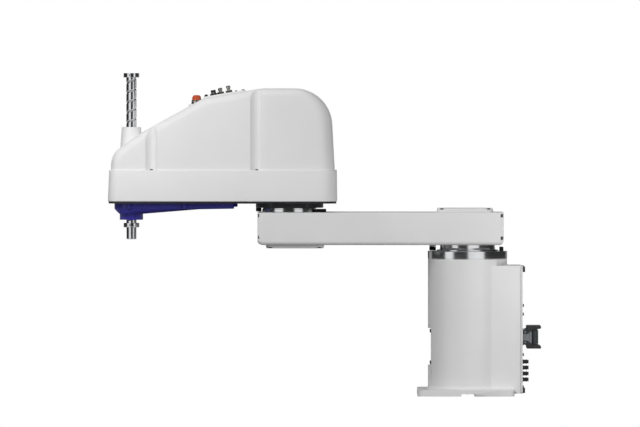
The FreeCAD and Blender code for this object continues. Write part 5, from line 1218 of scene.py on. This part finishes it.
def addLight(kind, name, energy, size, look, at=(0, 0, 0)):
    # plastics and metals mirror the soft boxes below, so the lights themselves stay out of gloss
    data = bpy.data.lights.new(name, kind)
    data.energy = energy
    if kind == "SUN":
        data.angle = size
    else:
        data.shape, data.size = "DISK", size
    light = bpy.data.objects.new(name, data)
    light.location = at
    light.rotation_euler = Vector(look).to_track_quat("Z", "Y").to_euler()
    light.visible_glossy = False
    bpy.context.scene.collection.objects.link(light)


def addSun(name, strength, toward):
    # a strength of 1 lights a square-on white surface to 1
    addLight("SUN", name, math.pi * strength, math.radians(studio["sunAngle"]), toward)


def addLamp(name, strength, at, size):
    # a strength of 1 lights a square-on white surface 1 m away to 1
    look = Vector(at) - Vector(studio["aim"])
    addLight("AREA", name, math.pi**2 * strength, size, look, at)


def addWorld():
    # White to the camera, plain to diffuse surfaces, and for gloss a dark studio with a pale ceiling.
    world = bpy.data.worlds.new("studio")
    bpy.context.scene.world = world
    graph = Graph(world)
    height = graph.coordinate("Z", "Generated")
    level = graph.step(height, *studio["ceiling"], studio["dark"], studio["overhead"])
    plain = studio["surround"] + graph.seenBy("Glossy") * (level - studio["surround"])
    camera = graph.seenBy("Camera")
    white = camera.maths("MAXIMUM", camera, graph.seenBy("Transmission"))
    strength = plain + white * (1 - plain)
    background = graph.node("ShaderNodeBackground", {}, {"Color": (1, 1, 1, 1), "Strength": strength})
    graph.node("ShaderNodeOutputWorld", {}, {"Surface": background})


def sheetMesh(name, corners):
    mesh = bpy.data.meshes.new(name)
    mesh.from_pydata(corners, [], [(0, 1, 2, 3)])
    item = bpy.data.objects.new(name, mesh)
    bpy.context.scene.collection.objects.link(item)
    material = bpy.data.materials.new(name + "_look")
    mesh.materials.append(material)
    return item, Graph(material)


def addSoftBox(name, strength, left, right, side):
    # An upright glowing sheet that only gloss sees; it dims smoothly towards its upright edges.
    low, high = studio["boxLow"], studio["boxHigh"]
    corners = [(left, side, low), (right, side, low), (right, side, high), (left, side, high)]
    item, graph = sheetMesh(name, corners)
    away = abs(graph.coordinate("X") - (left + right) / 2)
    half = abs(left - right) / 2
    level = graph.step(away, half - studio["boxEdge"], half, strength, studio["dark"])
    glow = graph.node("ShaderNodeEmission", {}, {"Color": (1, 1, 1, 1), "Strength": level})
    graph.node("ShaderNodeOutputMaterial", {}, {"Surface": glow})
    for kind in ("camera", "diffuse", "transmission", "shadow"):
        setattr(item, f"visible_{kind}", False)


def addFloor():
    # A floor that the camera sees as white. It is dark to the object, whose undersides stay dark.
    reach = studio["floorReach"]
    corners = [(-reach, -reach, 0), (reach, -reach, 0), (reach, reach, 0), (-reach, reach, 0)]
    graph = sheetMesh("floor", corners)[1]
    soft = graph.node("ShaderNodeBsdfDiffuse", {}, {"Color": (*[studio["floor"]] * 3, 1)})
    glow = graph.node("ShaderNodeEmission", {}, {"Color": (1, 1, 1, 1), "Strength": 1})
    camera, glossy = graph.seenBy("Camera"), graph.seenBy("Glossy")
    seen = camera.maths("MAXIMUM", camera, glossy * studio["floorGloss"])
    seen = seen.maths("MAXIMUM", seen, graph.seenBy("Transmission"))
    mixed = graph.node("ShaderNodeMixShader", {}, {0: seen, 1: soft, 2: glow})
    graph.node("ShaderNodeOutputMaterial", {}, {"Surface": mixed})


addWorld()
addFloor()
addSun("frontSun", studio["front"], studio["frontFrom"])
addSun("backSun", studio["back"], studio["backFrom"])
addLamp("keyLamp", studio["key"], studio["keyAt"], studio["keySize"])
addLamp("fillLamp", studio["fill"], studio["fillAt"], studio["fillSize"])
for boxName, values in studio["boxes"].items():
    addSoftBox(boxName, *values)
bpy.context.scene.view_settings.view_transform = "Standard"
print("light done")
